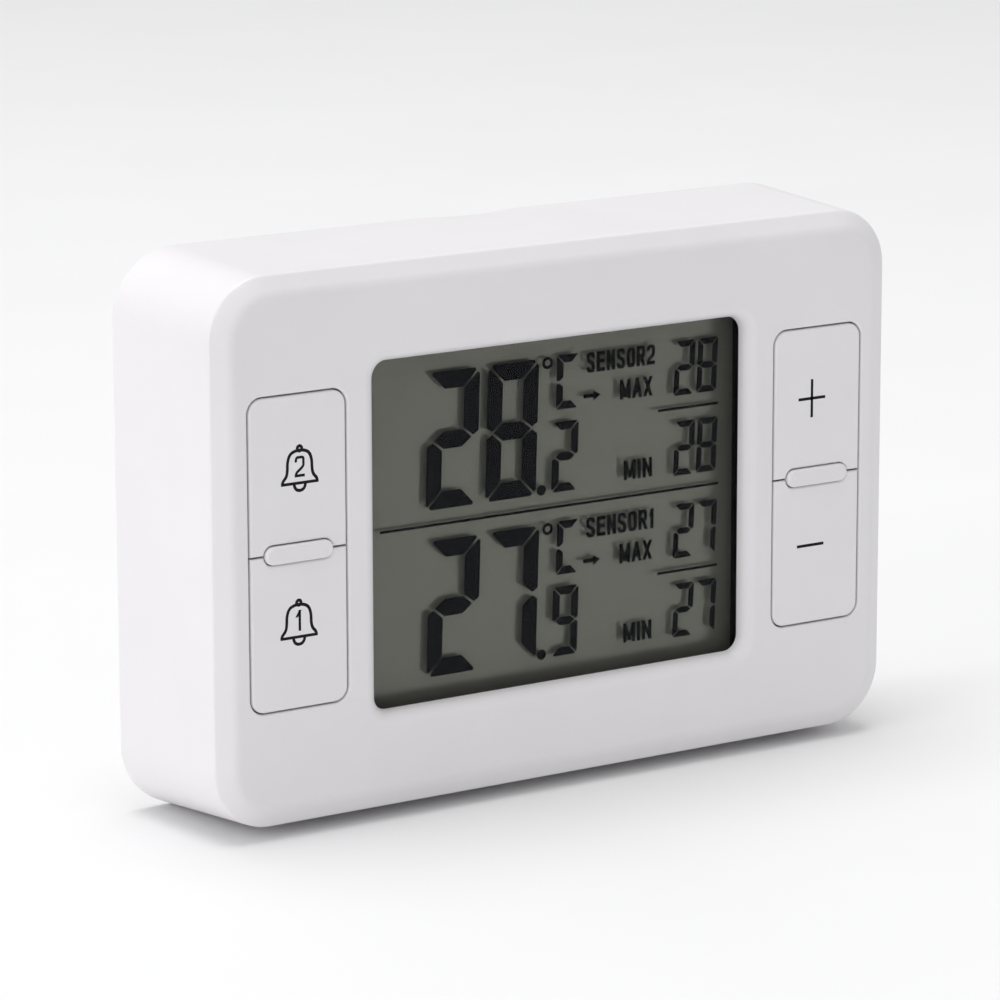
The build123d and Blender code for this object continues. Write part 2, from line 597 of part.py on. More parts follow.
# Rear cover with the battery compartment, stand recess, keyhole, magnet cups and sound slots
with BuildPart() as rear_cover:
    cover_inset = WALL + COVER_GAP
    drafted_block(case_outline(COVER_DEPTH, cover_inset), case_outline(DEPTH, cover_inset))
    door_place = (0, DOOR_LEVEL)
    well_outer = (WELL_LENGTH + 2 * WELL_WALL, WELL_HEIGHT + 2 * WELL_WALL)
    block(*well_outer, WELL_DEPTH - WELL_FLOOR, COVER_DEPTH - WELL_DEPTH + WELL_FLOOR, door_place)
    block(WELL_LENGTH, WELL_HEIGHT, WELL_DEPTH, DEPTH - WELL_DEPTH, door_place, mode=Mode.SUBTRACT)
    seat = DOOR_THICKNESS + DOOR_SEAT
    block(SEAT_WIDTH, SEAT_HEIGHT, DEPTH - seat, seat, door_place, mode=Mode.SUBTRACT)
    tongue_depth = COVER_DEPTH - STACK_GAP - TONGUE_THICKNESS
    tongue_room = COVER_DEPTH - tongue_depth + TONGUE_SWING
    room_height = WELL_WALL + TONGUE_REACH
    room_level = DOOR_LEVEL + WELL_HEIGHT / 2 + room_height / 2
    for side in SIDES:
        room_place = (side * TONGUE_X, room_level)
        room_depth = COVER_DEPTH - tongue_room
        room_width = TONGUE_WIDTH + 2 * DOOR_GAP
        block(room_width, room_height, room_depth, tongue_room, room_place, mode=Mode.SUBTRACT)
        ledge_place = (side * TONGUE_X, DOOR_LEVEL + (WELL_HEIGHT + SEAT_LEDGE_Z) / 2)
        block(room_width, SEAT_LEDGE_Z, COVER_DEPTH, COVER - seat, ledge_place, mode=Mode.SUBTRACT)
    for side in SIDES:
        tab_x = side * (WELL_LENGTH / 2 - CONTACT / 2)
        for end in SIDES:
            tab_place = (tab_x, DOOR_LEVEL + end * CELL_LEVEL)
            tab_room = (CONTACT + TAB_ROOM, TAB_WIDTH + 2 * TAB_ROOM)
            block(*tab_room, WELL_DEPTH - WELL_FLOOR, WELL_FLOOR, tab_place, mode=Mode.SUBTRACT)
    recess_height = STAND_LENGTH + 2 * STAND_GAP
    recess_width = STAND_WIDTH + 2 * STAND_GAP
    recess_place = (0, STAND_LEVEL)
    floor_depth = RECESS_DEPTH - STAND_FLOOR
    floor_width = recess_width + 2 * (TRUNNION_LENGTH + STAND_GAP + STAND_FLOOR)
    floor_height = recess_height + 2 * STAND_GAP
    block(floor_width, floor_height, floor_depth, COVER_DEPTH - floor_depth, recess_place)
    block(recess_width, recess_height, RECESS_DEPTH, DEPTH - RECESS_DEPTH, recess_place, mode=Mode.SUBTRACT)
    bore_length = recess_width + 2 * (TRUNNION_LENGTH + STAND_GAP)
    hinge_depth = STAND_DEPTH + STAND_THICKNESS / 2
    rod_along_x(TRUNNION_RADIUS + TRUNNION_FIT, bore_length, 0, STAND_HINGE, hinge_depth, Mode.SUBTRACT)
    disc(KEYHOLE_RADIUS, COVER_DEPTH, COVER, (0, KEYHOLE_LEVEL), Mode.SUBTRACT)
    disc(KEYHOLE_SLOT_RADIUS, COVER_DEPTH, COVER, (0, KEYHOLE_LEVEL + KEYHOLE_LIFT), Mode.SUBTRACT)
    slot_place = (0, KEYHOLE_LEVEL + KEYHOLE_LIFT / 2)
    block(2 * KEYHOLE_SLOT_RADIUS, KEYHOLE_LIFT, COVER_DEPTH, COVER, slot_place, mode=Mode.SUBTRACT)
    magnet_depth = DEPTH - MAGNET_SINK - MAGNET_THICKNESS
    for side in SIDES:
        magnet_place = (side * MAGNET_X, MAGNET_LEVEL)
        cup_front = magnet_depth - CUP_WALL
        disc(MAGNET_RADIUS + CUP_WALL, cup_front, COVER_DEPTH - cup_front, magnet_place)
        disc(MAGNET_RADIUS + SCREW_FIT, magnet_depth, DEPTH - magnet_depth, magnet_place, Mode.SUBTRACT)
    for place in four_spots(SCREW_X, SCREW_LEVEL):
        disc(BOSS_RADIUS + HEAD_CLEARANCE, BOSS_TOP, COVER_DEPTH - BOSS_TOP, place)
        disc(SCREW_RADIUS + SCREW_PASS, BOSS_TOP, CUP_FLOOR, place, Mode.SUBTRACT)
        disc(HEAD_RADIUS + HEAD_CLEARANCE, SEAT_DEPTH, CUP_DEPTH, place, Mode.SUBTRACT)
    piezo_place = (PIEZO_X, DOOR_LEVEL)
    ring = PIEZO_RADIUS + STACK_GAP
    ring_front = PIEZO_DEPTH - PIEZO_CAVITY
    disc(ring + CUP_WALL, ring_front, COVER_DEPTH - ring_front, piezo_place)
    disc(ring, ring_front, PIEZO_DEPTH + PIEZO_THICKNESS - ring_front, piezo_place, Mode.SUBTRACT)
    disc(ring - CUP_WALL, ring_front, COVER_DEPTH - ring_front, piezo_place, Mode.SUBTRACT)
    for column in range(-2, 3):
        slot_height = 2 * CERAMIC_RADIUS - SOUND_STEP * abs(column)
        slot_at = (PIEZO_X + column * SOUND_PITCH, DOOR_LEVEL)
        block(SOUND_SLOT, slot_height, COVER_DEPTH, COVER, slot_at, SOUND_SLOT * 0.45, Mode.SUBTRACT)
rear_cover.part.label = "rear_cover"

with BuildPart() as case_screws:
    for place in four_spots(SCREW_X, SCREW_LEVEL):
        disc(HEAD_RADIUS, SEAT_DEPTH, HEAD_HEIGHT, place)
        disc(SCREW_RADIUS, SEAT_DEPTH - SCREW_LENGTH, SCREW_LENGTH, place)
    fillet(edges_at(case_screws, SEAT_DEPTH + HEAD_HEIGHT), HEAD_ROUND)
    for place in four_spots(SCREW_X, SCREW_LEVEL):
        cross_depth = SEAT_DEPTH + HEAD_HEIGHT - CROSS_DEPTH
        block(CROSS_WIDTH, CROSS_LENGTH, cross_depth, CROSS_DEPTH, place, mode=Mode.SUBTRACT)
        block(CROSS_LENGTH, CROSS_WIDTH, cross_depth, CROSS_DEPTH, place, mode=Mode.SUBTRACT)
case_screws.part.label = "case_screws"

# Battery door, held by two tongues at its upper edge
with BuildPart() as battery_door:
    block(DOOR_WIDTH, DOOR_HEIGHT, DOOR_DEPTH, DOOR_THICKNESS, door_place, DOOR_CORNER)
    door_top = DOOR_LEVEL + DOOR_HEIGHT / 2
    for side in SIDES:
        reach_place = (side * TONGUE_X, door_top + (TONGUE_REACH - SEAT_LEDGE_Z) / 2)
        root_place = (side * TONGUE_X, door_top - SEAT_LEDGE_Z / 2)
        block(TONGUE_WIDTH, TONGUE_REACH + SEAT_LEDGE_Z, tongue_depth, TONGUE_THICKNESS, reach_place)
        block(TONGUE_WIDTH, SEAT_LEDGE_Z, tongue_depth, DOOR_DEPTH - tongue_depth, root_place)
    grip_level = DOOR_LEVEL - DOOR_HEIGHT / 2 + GRIP_EDGE
    grip_size = (GRIP_WIDTH, GRIP_HEIGHT)
    block(*grip_size, DEPTH - GRIP_DEPTH, GRIP_DEPTH, (0, grip_level), GRIP_CORNER, Mode.SUBTRACT)
    bar_size = (GRIP_BAR_LENGTH, GRIP_BAR_WIDTH)
    for row in (-1, 0, 1):
        bar_place = (0, grip_level + GRIP_BAR_PITCH * row)
        block(*bar_size, DEPTH - GRIP_DEPTH, GRIP_BAR_HEIGHT, bar_place)
battery_door.part.label = "battery_door"

# Stand, a flap with a trunnion at each side of its lower end
with BuildPart() as stand:
    block(STAND_WIDTH, STAND_LENGTH, STAND_DEPTH, STAND_THICKNESS, recess_place)
    heel = stand.edges().filter_by(Axis.X).group_by(Axis.Z)[0]
    fillet(heel, STAND_THICKNESS / 2 * 0.98)
    fillet(stand.edges().filter_by(Axis.X).group_by(Axis.Z)[-1], STAND_ROUND)
    thumb_level = STAND_HINGE - STAND_THICKNESS / 2 + STAND_LENGTH + THUMB_RADIUS * 0.4
    disc(THUMB_RADIUS, STAND_DEPTH, STAND_THICKNESS, (0, thumb_level), Mode.SUBTRACT)
    trunnion_span = recess_width + 2 * TRUNNION_LENGTH
    rod_along_x(TRUNNION_RADIUS, trunnion_span, 0, STAND_HINGE, hinge_depth)
stand.part.label = "stand"


def make_cell(side, end):
    """An AAA cell lying along X, its button towards the given side."""
    start_x = side * (WELL_LENGTH / 2 - CONTACT - CONTACT_DIMPLE)
    body_x = start_x - side * (CELL_NUB + CELL_BODY / 2)
    level = DOOR_LEVEL + end * CELL_LEVEL
    with BuildPart() as cell:
        rod_along_x(CELL_RADIUS, CELL_BODY, body_x, level, CELL_DEPTH)
        fillet(cell.edges(), CELL_ROUND)
        rod_along_x(CELL_NUB_RADIUS, CELL_NUB, start_x - side * CELL_NUB / 2, level, CELL_DEPTH)
    return cell.part


def make_spring(side, end):
    """A conical contact spring that narrows from its plate to the flat end of a cell."""
    level = DOOR_LEVEL + end * CELL_LEVEL
    start_x = side * (WELL_LENGTH / 2 - CONTACT - SPRING_WIRE)
    height = SPRING_LENGTH - 2 * SPRING_WIRE - STACK_GAP
    path = Helix(
        height / SPRING_COILS,
        height,
        SPRING_RADIUS,
        center=spot(start_x, level, CELL_DEPTH),
        direction=(-side, 0, 0),
        cone_angle=SPRING_TAPER,
    )
    with BuildPart() as spring:
        with BuildSketch(Plane(origin=path @ 0, z_dir=path % 0)) as wire:
            Circle(SPRING_WIRE)
        sweep(wire.sketch, path=path, is_frenet=True)
    return spring.part


def make_contact(side, ends, buttons):
    """A contact plate across one or both cells, with a dimple where a cell's button meets it."""
    plate_x = side * (WELL_LENGTH / 2 - CONTACT / 2)
    levels = [DOOR_LEVEL + end * CELL_LEVEL for end in ends]
    middle = sum(levels) / len(levels)
    height = max(levels) - min(levels) + 2 * CONTACT_END
    plate_depth = CELL_DEPTH - CONTACT_WIDTH / 2
    with BuildPart() as contact:
        block(CONTACT, height, plate_depth, CONTACT_WIDTH, (plate_x, middle))
        block(CONTACT, TAB_WIDTH, BOARD_BACK, plate_depth - BOARD_BACK, (plate_x, levels[0]))
        for end in buttons:
            dimple_x = side * (WELL_LENGTH / 2 - CONTACT - CONTACT_DIMPLE / 2)
            dimple_level = DOOR_LEVEL + end * CELL_LEVEL
            rod_along_x(DIMPLE_RADIUS, CONTACT_DIMPLE, dimple_x, dimple_level, CELL_DEPTH)
    return contact.part


with BuildPart() as magnet_left:
    disc(MAGNET_RADIUS, magnet_depth, MAGNET_THICKNESS, (-MAGNET_X, MAGNET_LEVEL))
    fillet(magnet_left.edges(), MAGNET_ROUND)
magnet_left.part.label = "magnet_left"

with BuildPart() as magnet_right:
    disc(MAGNET_RADIUS, magnet_depth, MAGNET_THICKNESS, (MAGNET_X, MAGNET_LEVEL))
    fillet(magnet_right.edges(), MAGNET_ROUND)
magnet_right.part.label = "magnet_right"

battery_upper = make_cell(1, 1)
battery_upper.label = "battery_upper"
battery_lower = make_cell(-1, -1)
battery_lower.label = "battery_lower"
spring_upper = make_spring(-1, 1)
spring_upper.label = "spring_upper"
spring_lower = make_spring(1, -1)
spring_lower.label = "spring_lower"
contact_link = make_contact(-1, (-1, 1), (-1,))
contact_link.label = "contact_link"
contact_positive = make_contact(1, (1,), (1,))
contact_positive.label = "contact_positive"
contact_negative = make_contact(1, (-1,), ())
contact_negative.label = "contact_negative"
sounder_lead_red = make_lead(RED_START, RED_END)
sounder_lead_red.label = "sounder_lead_red"
sounder_lead_black = make_lead(BLACK_START, BLACK_END)
sounder_lead_black.label = "sounder_lead_black"

os.makedirs("parts", exist_ok=True)
export_step(front_shell.part, "parts/front_shell.step")
export_step(display_window.part, "parts/display_window.step")
export_step(lcd_front_polariser.part, "parts/lcd_front_polariser.step")
export_step(lcd_front_glass.part, "parts/lcd_front_glass.step")
export_step(lcd_rear_glass.part, "parts/lcd_rear_glass.step")
export_step(lcd_reflector.part, "parts/lcd_reflector.step")
export_step(zebra_strip.part, "parts/zebra_strip.step")
export_step(lcd_frame.part, "parts/lcd_frame.step")
export_step(main_board.part, "parts/main_board.step")
export_step(board_screws.part, "parts/board_screws.step")
export_step(controller_blob.part, "parts/controller_blob.step")
export_step(board_crystal.part, "parts/board_crystal.step")
export_step(board_chips.part, "parts/board_chips.step")
export_step(filter_capacitor.part, "parts/filter_capacitor.step")
export_step(receiver_board.part, "parts/receiver_board.step")
export_step(receiver_pins.part, "parts/receiver_pins.step")
export_step(receiver_chip.part, "parts/receiver_chip.step")
export_step(receiver_crystal.part, "parts/receiver_crystal.step")
export_step(aerial_coil.part, "parts/aerial_coil.step")
export_step(piezo_plate.part, "parts/piezo_plate.step")
export_step(piezo_ceramic.part, "parts/piezo_ceramic.step")
export_step(rear_cover.part, "parts/rear_cover.step")
export_step(case_screws.part, "parts/case_screws.step")
export_step(battery_door.part, "parts/battery_door.step")
export_step(stand.part, "parts/stand.step")
export_step(magnet_left.part, "parts/magnet_left.step")
export_step(magnet_right.part, "parts/magnet_right.step")
export_step(battery_upper, "parts/battery_upper.step")
export_step(battery_lower, "parts/battery_lower.step")
export_step(spring_upper, "parts/spring_upper.step")
export_step(spring_lower, "parts/spring_lower.step")
export_step(contact_link, "parts/contact_link.step")
export_step(contact_positive, "parts/contact_positive.step")
export_step(contact_negative, "parts/contact_negative.step")
export_step(sounder_lead_red, "parts/sounder_lead_red.step")
export_step(sounder_lead_black, "parts/sounder_lead_black.step")

keys = {"bell_two": (-1, 1), "bell_one": (-1, -1), "plus": (1, 1), "minus": (1, -1)}
for name, (side, end) in keys.items():
    pieces = {
        "key_" + name: make_key(side, end),
        "switch_stem_" + name: make_plunger(side, end),
        "switch_body_" + name: make_switch(side, end),
    }
    for label, piece in pieces.items():
        piece.label = label
        export_step(piece, f"parts/{label}.step")
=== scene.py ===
"""Looks of a maximum and minimum thermometer's display unit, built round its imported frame.

Lengths are metres, X runs to the right, Y from the face to the back and Z up. A depth is
measured backwards from the flat front face, and a level upwards from the middle of the window.
"""
import json
import logging
import math
from dataclasses import dataclass, field
from enum import Enum
from typing import Callable, Iterable, Sequence, Union

import bmesh
import bpy
from mathutils import Matrix, Vector

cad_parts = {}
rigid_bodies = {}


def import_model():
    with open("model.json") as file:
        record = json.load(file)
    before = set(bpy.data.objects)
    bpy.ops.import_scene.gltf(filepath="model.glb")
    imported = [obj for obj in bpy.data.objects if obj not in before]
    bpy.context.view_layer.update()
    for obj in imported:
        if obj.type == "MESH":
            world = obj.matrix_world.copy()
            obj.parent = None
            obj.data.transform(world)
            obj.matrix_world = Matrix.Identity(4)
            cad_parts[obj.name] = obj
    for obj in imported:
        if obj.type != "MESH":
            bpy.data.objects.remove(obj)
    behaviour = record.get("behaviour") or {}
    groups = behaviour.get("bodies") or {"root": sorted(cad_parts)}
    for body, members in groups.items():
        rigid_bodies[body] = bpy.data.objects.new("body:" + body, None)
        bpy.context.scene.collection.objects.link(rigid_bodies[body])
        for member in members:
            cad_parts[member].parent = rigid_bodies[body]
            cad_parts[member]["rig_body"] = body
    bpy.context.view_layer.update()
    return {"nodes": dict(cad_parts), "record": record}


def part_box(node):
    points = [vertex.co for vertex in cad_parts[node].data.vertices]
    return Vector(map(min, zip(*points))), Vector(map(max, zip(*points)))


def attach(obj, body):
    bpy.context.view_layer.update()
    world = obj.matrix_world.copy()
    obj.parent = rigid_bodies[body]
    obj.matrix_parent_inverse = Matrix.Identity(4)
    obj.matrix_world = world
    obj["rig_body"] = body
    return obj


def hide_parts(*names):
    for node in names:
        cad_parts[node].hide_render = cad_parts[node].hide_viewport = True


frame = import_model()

MM = 0.001
SHARP_ANGLE = math.radians(32)
FLAT_ANGLE = math.radians(0.2)
MERGE_DISTANCE = 0.001 * MM
INK_FLATNESS = 0.06
log = logging.getLogger("thermometer")

Rgb = tuple[float, float, float]
Point = tuple[float, float]
Number = Union[float, "Value"]


def face_depth() -> float:
    """Return the Y of the flat front face, which the keys are flush with."""
    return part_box("key_plus")[0].y


def face_level() -> float:
    """Return the Z of the window's middle."""
    low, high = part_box("display_window")
    return (low.z + high.z) / 2


# ---------------------------------------------------------------- shader tools


class Value:
    """A shader's number socket, which ordinary operators work on."""

    def __init__(self, shader: "Shader", socket: bpy.types.NodeSocket) -> None:
        """Wrap an output socket of a shader's node.

        Args:
            shader: the shader that the socket's node belongs to.
            socket: the output socket.
        """
        self.shader = shader
        self.socket = socket

    def _maths(self, operation: str, *values: Number) -> "Value":
        """Return a new Math node's result for this shader.

        Args:
            operation: the Math node's operation.
            values: its inputs, in order.

        Returns:
            The node's output as a Value.
        """
        inputs = dict(enumerate(values))
        return self.shader.value("ShaderNodeMath", {"operation": operation}, inputs)

    def __add__(self, other: Number) -> "Value":
        """Return self + other."""
        return self._maths("ADD", self, other)

    def __radd__(self, other: Number) -> "Value":
        """Return other + self."""
        return self._maths("ADD", other, self)

    def __sub__(self, other: Number) -> "Value":
        """Return self - other."""
        return self._maths("SUBTRACT", self, other)

    def __rsub__(self, other: Number) -> "Value":
        """Return other - self."""
        return self._maths("SUBTRACT", other, self)

    def __mul__(self, other: Number) -> "Value":
        """Return self * other."""
        return self._maths("MULTIPLY", self, other)

    def __rmul__(self, other: Number) -> "Value":
        """Return other * self."""
        return self._maths("MULTIPLY", other, self)

    def __truediv__(self, other: Number) -> "Value":
        """Return self / other."""
        return self._maths("DIVIDE", self, other)

    def __rtruediv__(self, other: Number) -> "Value":
        """Return other / self."""
        return self._maths("DIVIDE", other, self)

    def wave(self, period: float) -> "Value":
        """Return a sine of self that runs from 0 to 1 over each period."""
        return self._maths("SINE", self * (2 * math.pi / period)) * 0.5 + 0.5

    def ramp(self, low: float, high: float) -> "Value":
        """Return self mapped from low..high to 0..1 and held there.

        Args:
            low: the value that becomes 0.
            high: the value that becomes 1.

        Returns:
            The mapped value.
        """
        inputs = {"Value": self, "From Min": low, "From Max": high}
        return self.shader.value("ShaderNodeMapRange", {"clamp": True}, inputs)


class Shader:
    """A material's node tree, with one Principled shader, filled in by a finish."""

    def __init__(self, name: str) -> None:
        """Make an empty material with a Principled shader.

        Args:
            name: the material's name.
        """
        self.material = bpy.data.materials.new(name)
        self.material.use_nodes = True
        self.tree = self.material.node_tree
        self.principled = self.tree.nodes["Principled BSDF"]

    def node(
        self, kind: str, settings: dict[str, object], inputs: dict[object, object]
    ) -> bpy.types.Node:
        """Add a node, set it and connect it.

        Args:
            kind: the node's type name.
            settings: the node's attributes, set first.
            inputs: values or links for sockets, by name or index.

        Returns:
            The new node.
        """
        made = self.tree.nodes.new(kind)
        for key, setting in settings.items():
            setattr(made, key, setting)
        for key, given in inputs.items():
            self.feed(made.inputs[key], given)
        return made

    def value(
        self, kind: str, settings: dict[str, object], inputs: dict[object, object], output: object = 0
    ) -> Value:
        """Add a node and return one of its outputs as a Value."""
        return Value(self, self.node(kind, settings, inputs).outputs[output])

    def feed(self, socket: bpy.types.NodeSocket, given: object) -> None:
        """Set a socket to a plain value, or link a Value or a socket to it.

        Args:
            socket: the input socket.
            given: a number, a colour, a Value or an output socket.
        """
        if isinstance(given, Value):
            given = given.socket
        if isinstance(given, bpy.types.NodeSocket):
            self.tree.links.new(given, socket)
        elif isinstance(given, tuple) and socket.type == "RGBA":
            socket.default_value = (*given, 1.0)
        else:
            socket.default_value = given

    def object_point(self, scale: Rgb = (1.0, 1.0, 1.0)) -> bpy.types.NodeSocket:
        """Return the object coordinates, stretched along each axis.

        Args:
            scale: how much each axis is stretched.

        Returns:
            The coordinates' output socket.
        """
        texture = self.node("ShaderNodeTexCoord", {}, {})
        mapping = self.node(
            "ShaderNodeMapping", {}, {"Vector": texture.outputs["Object"], "Scale": scale}
        )
        return mapping.outputs["Vector"]

    def axis(self, name: str) -> Value:
        """Return one object coordinate, in millimetres."""
        split = self.node("ShaderNodeSeparateXYZ", {}, {0: self.object_point()})
        return Value(self, split.outputs[name]) / MM

    def noise(self, size_mm: float, stretch: Rgb = (1.0, 1.0, 1.0), detail: float = 3.0) -> Value:
        """Return a smooth noise from 0 to 1.

        Args:
            size_mm: the size of its spots.
            stretch: how much finer the spots are along each axis.
            detail: the number of finer layers in it.

        Returns:
            The noise as a Value.
        """
        inputs = {
            "Vector": self.object_point(stretch),
            "Scale": 1 / (size_mm * MM),
            "Detail": detail,
            "Roughness": 0.55,
        }
        return self.value("ShaderNodeTexNoise", {}, inputs)

    def blend(self, share: Number, first: object, second: object) -> bpy.types.NodeSocket:
        """Return the colour between two colours at a share of the second.

        Args:
            share: 0 for the first colour, 1 for the second.
            first: a colour or a colour socket.
            second: a colour or a colour socket.

        Returns:
            The mixed colour's socket.
        """
        mix = self.node("ShaderNodeMix", {"data_type": "RGBA"}, {0: share, 6: first, 7: second})
        return mix.outputs[2]

    def relief(self, height: Value, height_mm: float) -> None:
        """Drive the surface's normal with a height pattern.

        Args:
            height: the pattern, from 0 to 1.
            height_mm: how high 1 stands.
        """
        inputs = {"Height": height, "Distance": height_mm * MM, "Strength": 1.0}
        bump = self.node("ShaderNodeBump", {}, inputs)
        self.feed(self.principled.inputs["Normal"], bump.outputs["Normal"])

    def set(self, **inputs: object) -> None:
        """Feed the Principled shader's sockets, named with _ for each space."""
        for key, given in inputs.items():
            self.feed(self.principled.inputs[key.replace("_", " ")], given)


# ---------------------------------------------------------------- finishes


class Pattern(Enum):
    """How a finish varies over a surface."""

    MOULDED = "moulded"
    BRUSHED = "brushed"
    STRIPED = "striped"
    TRACED = "traced"
    FILM = "film"


@dataclass(frozen=True)
class Finish:
    """A surface finish: its colours, its gloss and the grain that breaks them up."""

    name: str
    colour: Rgb
    mottle: Rgb
    roughness: float
    mottle_mm: float = 6.0
    roughness_swing: float = 0.06
    grain_mm: float = 0.25
    grain_height_mm: float = 0.004
    metallic: float = 0.0
    coat: float = 0.0
    alpha: float = 1.0
    specular: float = 0.5
    pattern: Pattern = Pattern.MOULDED

    def build(self) -> bpy.types.Material:
        """Make this finish's material, the first time that it is asked for.

        Returns:
            The material.
        """
        name = f"{self.name}_look"
        found = bpy.data.materials.get(name)
        if found is not None:
            return found
        shader = Shader(name)
        share, grain = self._pattern(shader)
        swing = shader.noise(self.mottle_mm * 0.6) - 0.5
        shader.set(
            Base_Color=shader.blend(share, self.colour, self.mottle),
            Roughness=swing * (2 * self.roughness_swing) + self.roughness,
            Metallic=self.metallic,
            Coat_Weight=self.coat,
            Alpha=self.alpha,
            Specular_IOR_Level=self.specular,
        )
        shader.relief(grain, self.grain_height_mm)
        return shader.material

    def _pattern(self, shader: Shader) -> tuple[Value, Value]:
        """Return the share of the second colour and the height of the grain.

        Args:
            shader: the material being made.

        Returns:
            The two patterns, each from 0 to 1.
        """
        fine = shader.noise(self.grain_mm, detail=2.0)
        broad = shader.noise(self.mottle_mm)
        if self.pattern is Pattern.BRUSHED:
            drawn = shader.noise(self.grain_mm, stretch=(0.08, 1.0, 1.0), detail=4.0)
            return drawn.ramp(0.3, 0.7), drawn
        if self.pattern is Pattern.STRIPED:
            stripes = shader.axis("X").wave(self.mottle_mm)
            return stripes.ramp(0.4, 0.6), stripes * 0.7 + fine * 0.3
        if self.pattern is Pattern.TRACED:
            traces = self._traces(shader)
            return traces, traces * 0.8 + fine * 0.2
        if self.pattern is Pattern.FILM:
            return (broad * 0.4 + fine * 0.6).ramp(0.3, 0.7), fine
        return broad.ramp(0.25, 0.75), fine * 0.75 + shader.noise(self.grain_mm * 4) * 0.25

    def _traces(self, shader: Shader) -> Value:
        """Lay copper tracks in rows and columns, as on a circuit board.

        Args:
            shader: the material being made.

        Returns:
            The pattern, 1 on the tracks.
        """
        inputs = {
            "Vector": shader.node(
                "ShaderNodeCombineXYZ", {}, {0: shader.axis("X"), 1: shader.axis("Z")}
            ).outputs[0],
            "Scale": 1.0,
            "Mortar Size": 0.16,
            "Mortar Smooth": 0.05,
            "Brick Width": self.mottle_mm * 2.2,
            "Row Height": self.mottle_mm * 0.6,
        }
        settings = {"offset": 0.37, "offset_frequency": 3, "squash": 0.6, "squash_frequency": 2}
        return shader.value("ShaderNodeTexBrick", settings, inputs, output="Fac")


CASE = Finish("white_case", (0.77, 0.755, 0.77), (0.80, 0.785, 0.80), 0.42, 14.0, 0.05, 0.22, 0.0025)
KEY = Finish("white_key", (0.775, 0.76, 0.775), (0.80, 0.785, 0.80), 0.38, 9.0, 0.05, 0.2, 0.002)
COVER = Finish("white_cover", (0.74, 0.73, 0.74), (0.78, 0.77, 0.78), 0.55, 10.0, 0.06, 0.3, 0.010)
LEGEND = Finish(
    "legend_ink", (0.004, 0.004, 0.005), (0.010, 0.010, 0.011), 0.6, 1.2, 0.08, 0.15, 0.002,
    specular=0.15,
)
WINDOW = Finish(
    "clear_acrylic", (0.010, 0.012, 0.011), (0.014, 0.016, 0.015), 0.06, 12.0, 0.02, 3.0, 0.0004, alpha=0.08
)
CELL_GLASS = Finish(
    "display_cell", (0.008, 0.010, 0.007), (0.011, 0.013, 0.010), 0.12, 10.0, 0.03, 2.0, 0.0004, alpha=0.12,
    specular=0.25,
)
REFLECTOR = Finish(
    "reflector_film", (0.365, 0.367, 0.316), (0.335, 0.337, 0.288), 0.2, 18.0, 0.03, 0.12, 0.001,
    metallic=0.42, specular=0.2, pattern=Pattern.FILM,
)
SEGMENT = Finish(
    "segment_ink", (0.002, 0.002, 0.004), (0.004, 0.004, 0.007), 0.6, 2.0, 0.08, 0.2, 0.001, specular=0.0
)
# Near black for the display's holder frame: painted shade, so the frame wall seen past the window's right
# and bottom edges reads dark.
FRAME = Finish(
    "frame_plastic", (0.004, 0.004, 0.004), (0.008, 0.008, 0.008), 0.7, 4.0, 0.08, 0.2, 0.004, specular=0.1
)
# Near black for the display cell's side faces: painted shade, which darkens the strip seen along the
# window's right and bottom edges.
CELL_SIDE_SHADE = Finish(
    "cell_side_painted_shade", (0.003, 0.003, 0.003), (0.006, 0.006, 0.006), 0.7, 3.0, 0.08, 0.2, 0.002, specular=0.0
)
RUBBER = Finish(
    "zebra_rubber", (0.62, 0.50, 0.52), (0.05, 0.05, 0.06), 0.7, 0.5, 0.05, 0.1, 0.01,
    pattern=Pattern.STRIPED,
)
BOARD = Finish(
    "board_laminate", (0.012, 0.085, 0.030), (0.035, 0.20, 0.07), 0.32, 2.2, 0.06, 0.15, 0.02,
    coat=0.4, pattern=Pattern.TRACED,
)
STEEL = Finish(
    "zinc_steel", (0.52, 0.52, 0.54), (0.62, 0.62, 0.62), 0.34, 2.0, 0.1, 0.12, 0.004,
    metallic=1.0, pattern=Pattern.BRUSHED,
)
NICKEL = Finish(
    "nickel_plate", (0.66, 0.64, 0.60), (0.72, 0.71, 0.68), 0.22, 3.0, 0.08, 0.2, 0.002,
    metallic=1.0, pattern=Pattern.BRUSHED,
)
GOLD = Finish(
    "gold_flash", (0.83, 0.60, 0.22), (0.90, 0.70, 0.32), 0.24, 1.0, 0.06, 0.1, 0.001, metallic=1.0
)
COPPER = Finish(
    "enamelled_copper", (0.62, 0.22, 0.09), (0.70, 0.30, 0.13), 0.25, 1.5, 0.06, 0.1, 0.001, 1.0, 0.5
)
BRASS = Finish("rolled_brass", (0.72, 0.50, 0.17), (0.80, 0.58, 0.24), 0.3, 2.0, 0.08, 0.15, 0.002, 1.0)
CERAMIC = Finish("silvered_ceramic", (0.72, 0.71, 0.66), (0.62, 0.61, 0.57), 0.5, 1.5, 0.1, 0.1, 0.004)
EPOXY = Finish("black_epoxy", (0.012, 0.012, 0.013), (0.02, 0.02, 0.022), 0.3, 1.0, 0.08, 0.15, 0.004)
CHIP = Finish("chip_body", (0.05, 0.035, 0.022), (0.30, 0.29, 0.27), 0.4, 0.7, 0.1, 0.1, 0.004)
SLEEVE = Finish("capacitor_sleeve", (0.01, 0.015, 0.05), (0.015, 0.02, 0.07), 0.3, 1.6, 0.06, 0.2, 0.002)
RED = Finish("red_insulation", (0.45, 0.015, 0.012), (0.52, 0.025, 0.02), 0.4, 1.0, 0.06, 0.1, 0.003)
BLACK = Finish("black_insulation", (0.012, 0.012, 0.012), (0.02, 0.02, 0.02), 0.4, 1.0, 0.06, 0.1, 0.003)
SWITCH = Finish("switch_body", (0.015, 0.015, 0.016), (0.03, 0.03, 0.032), 0.5, 1.0, 0.08, 0.12, 0.005)
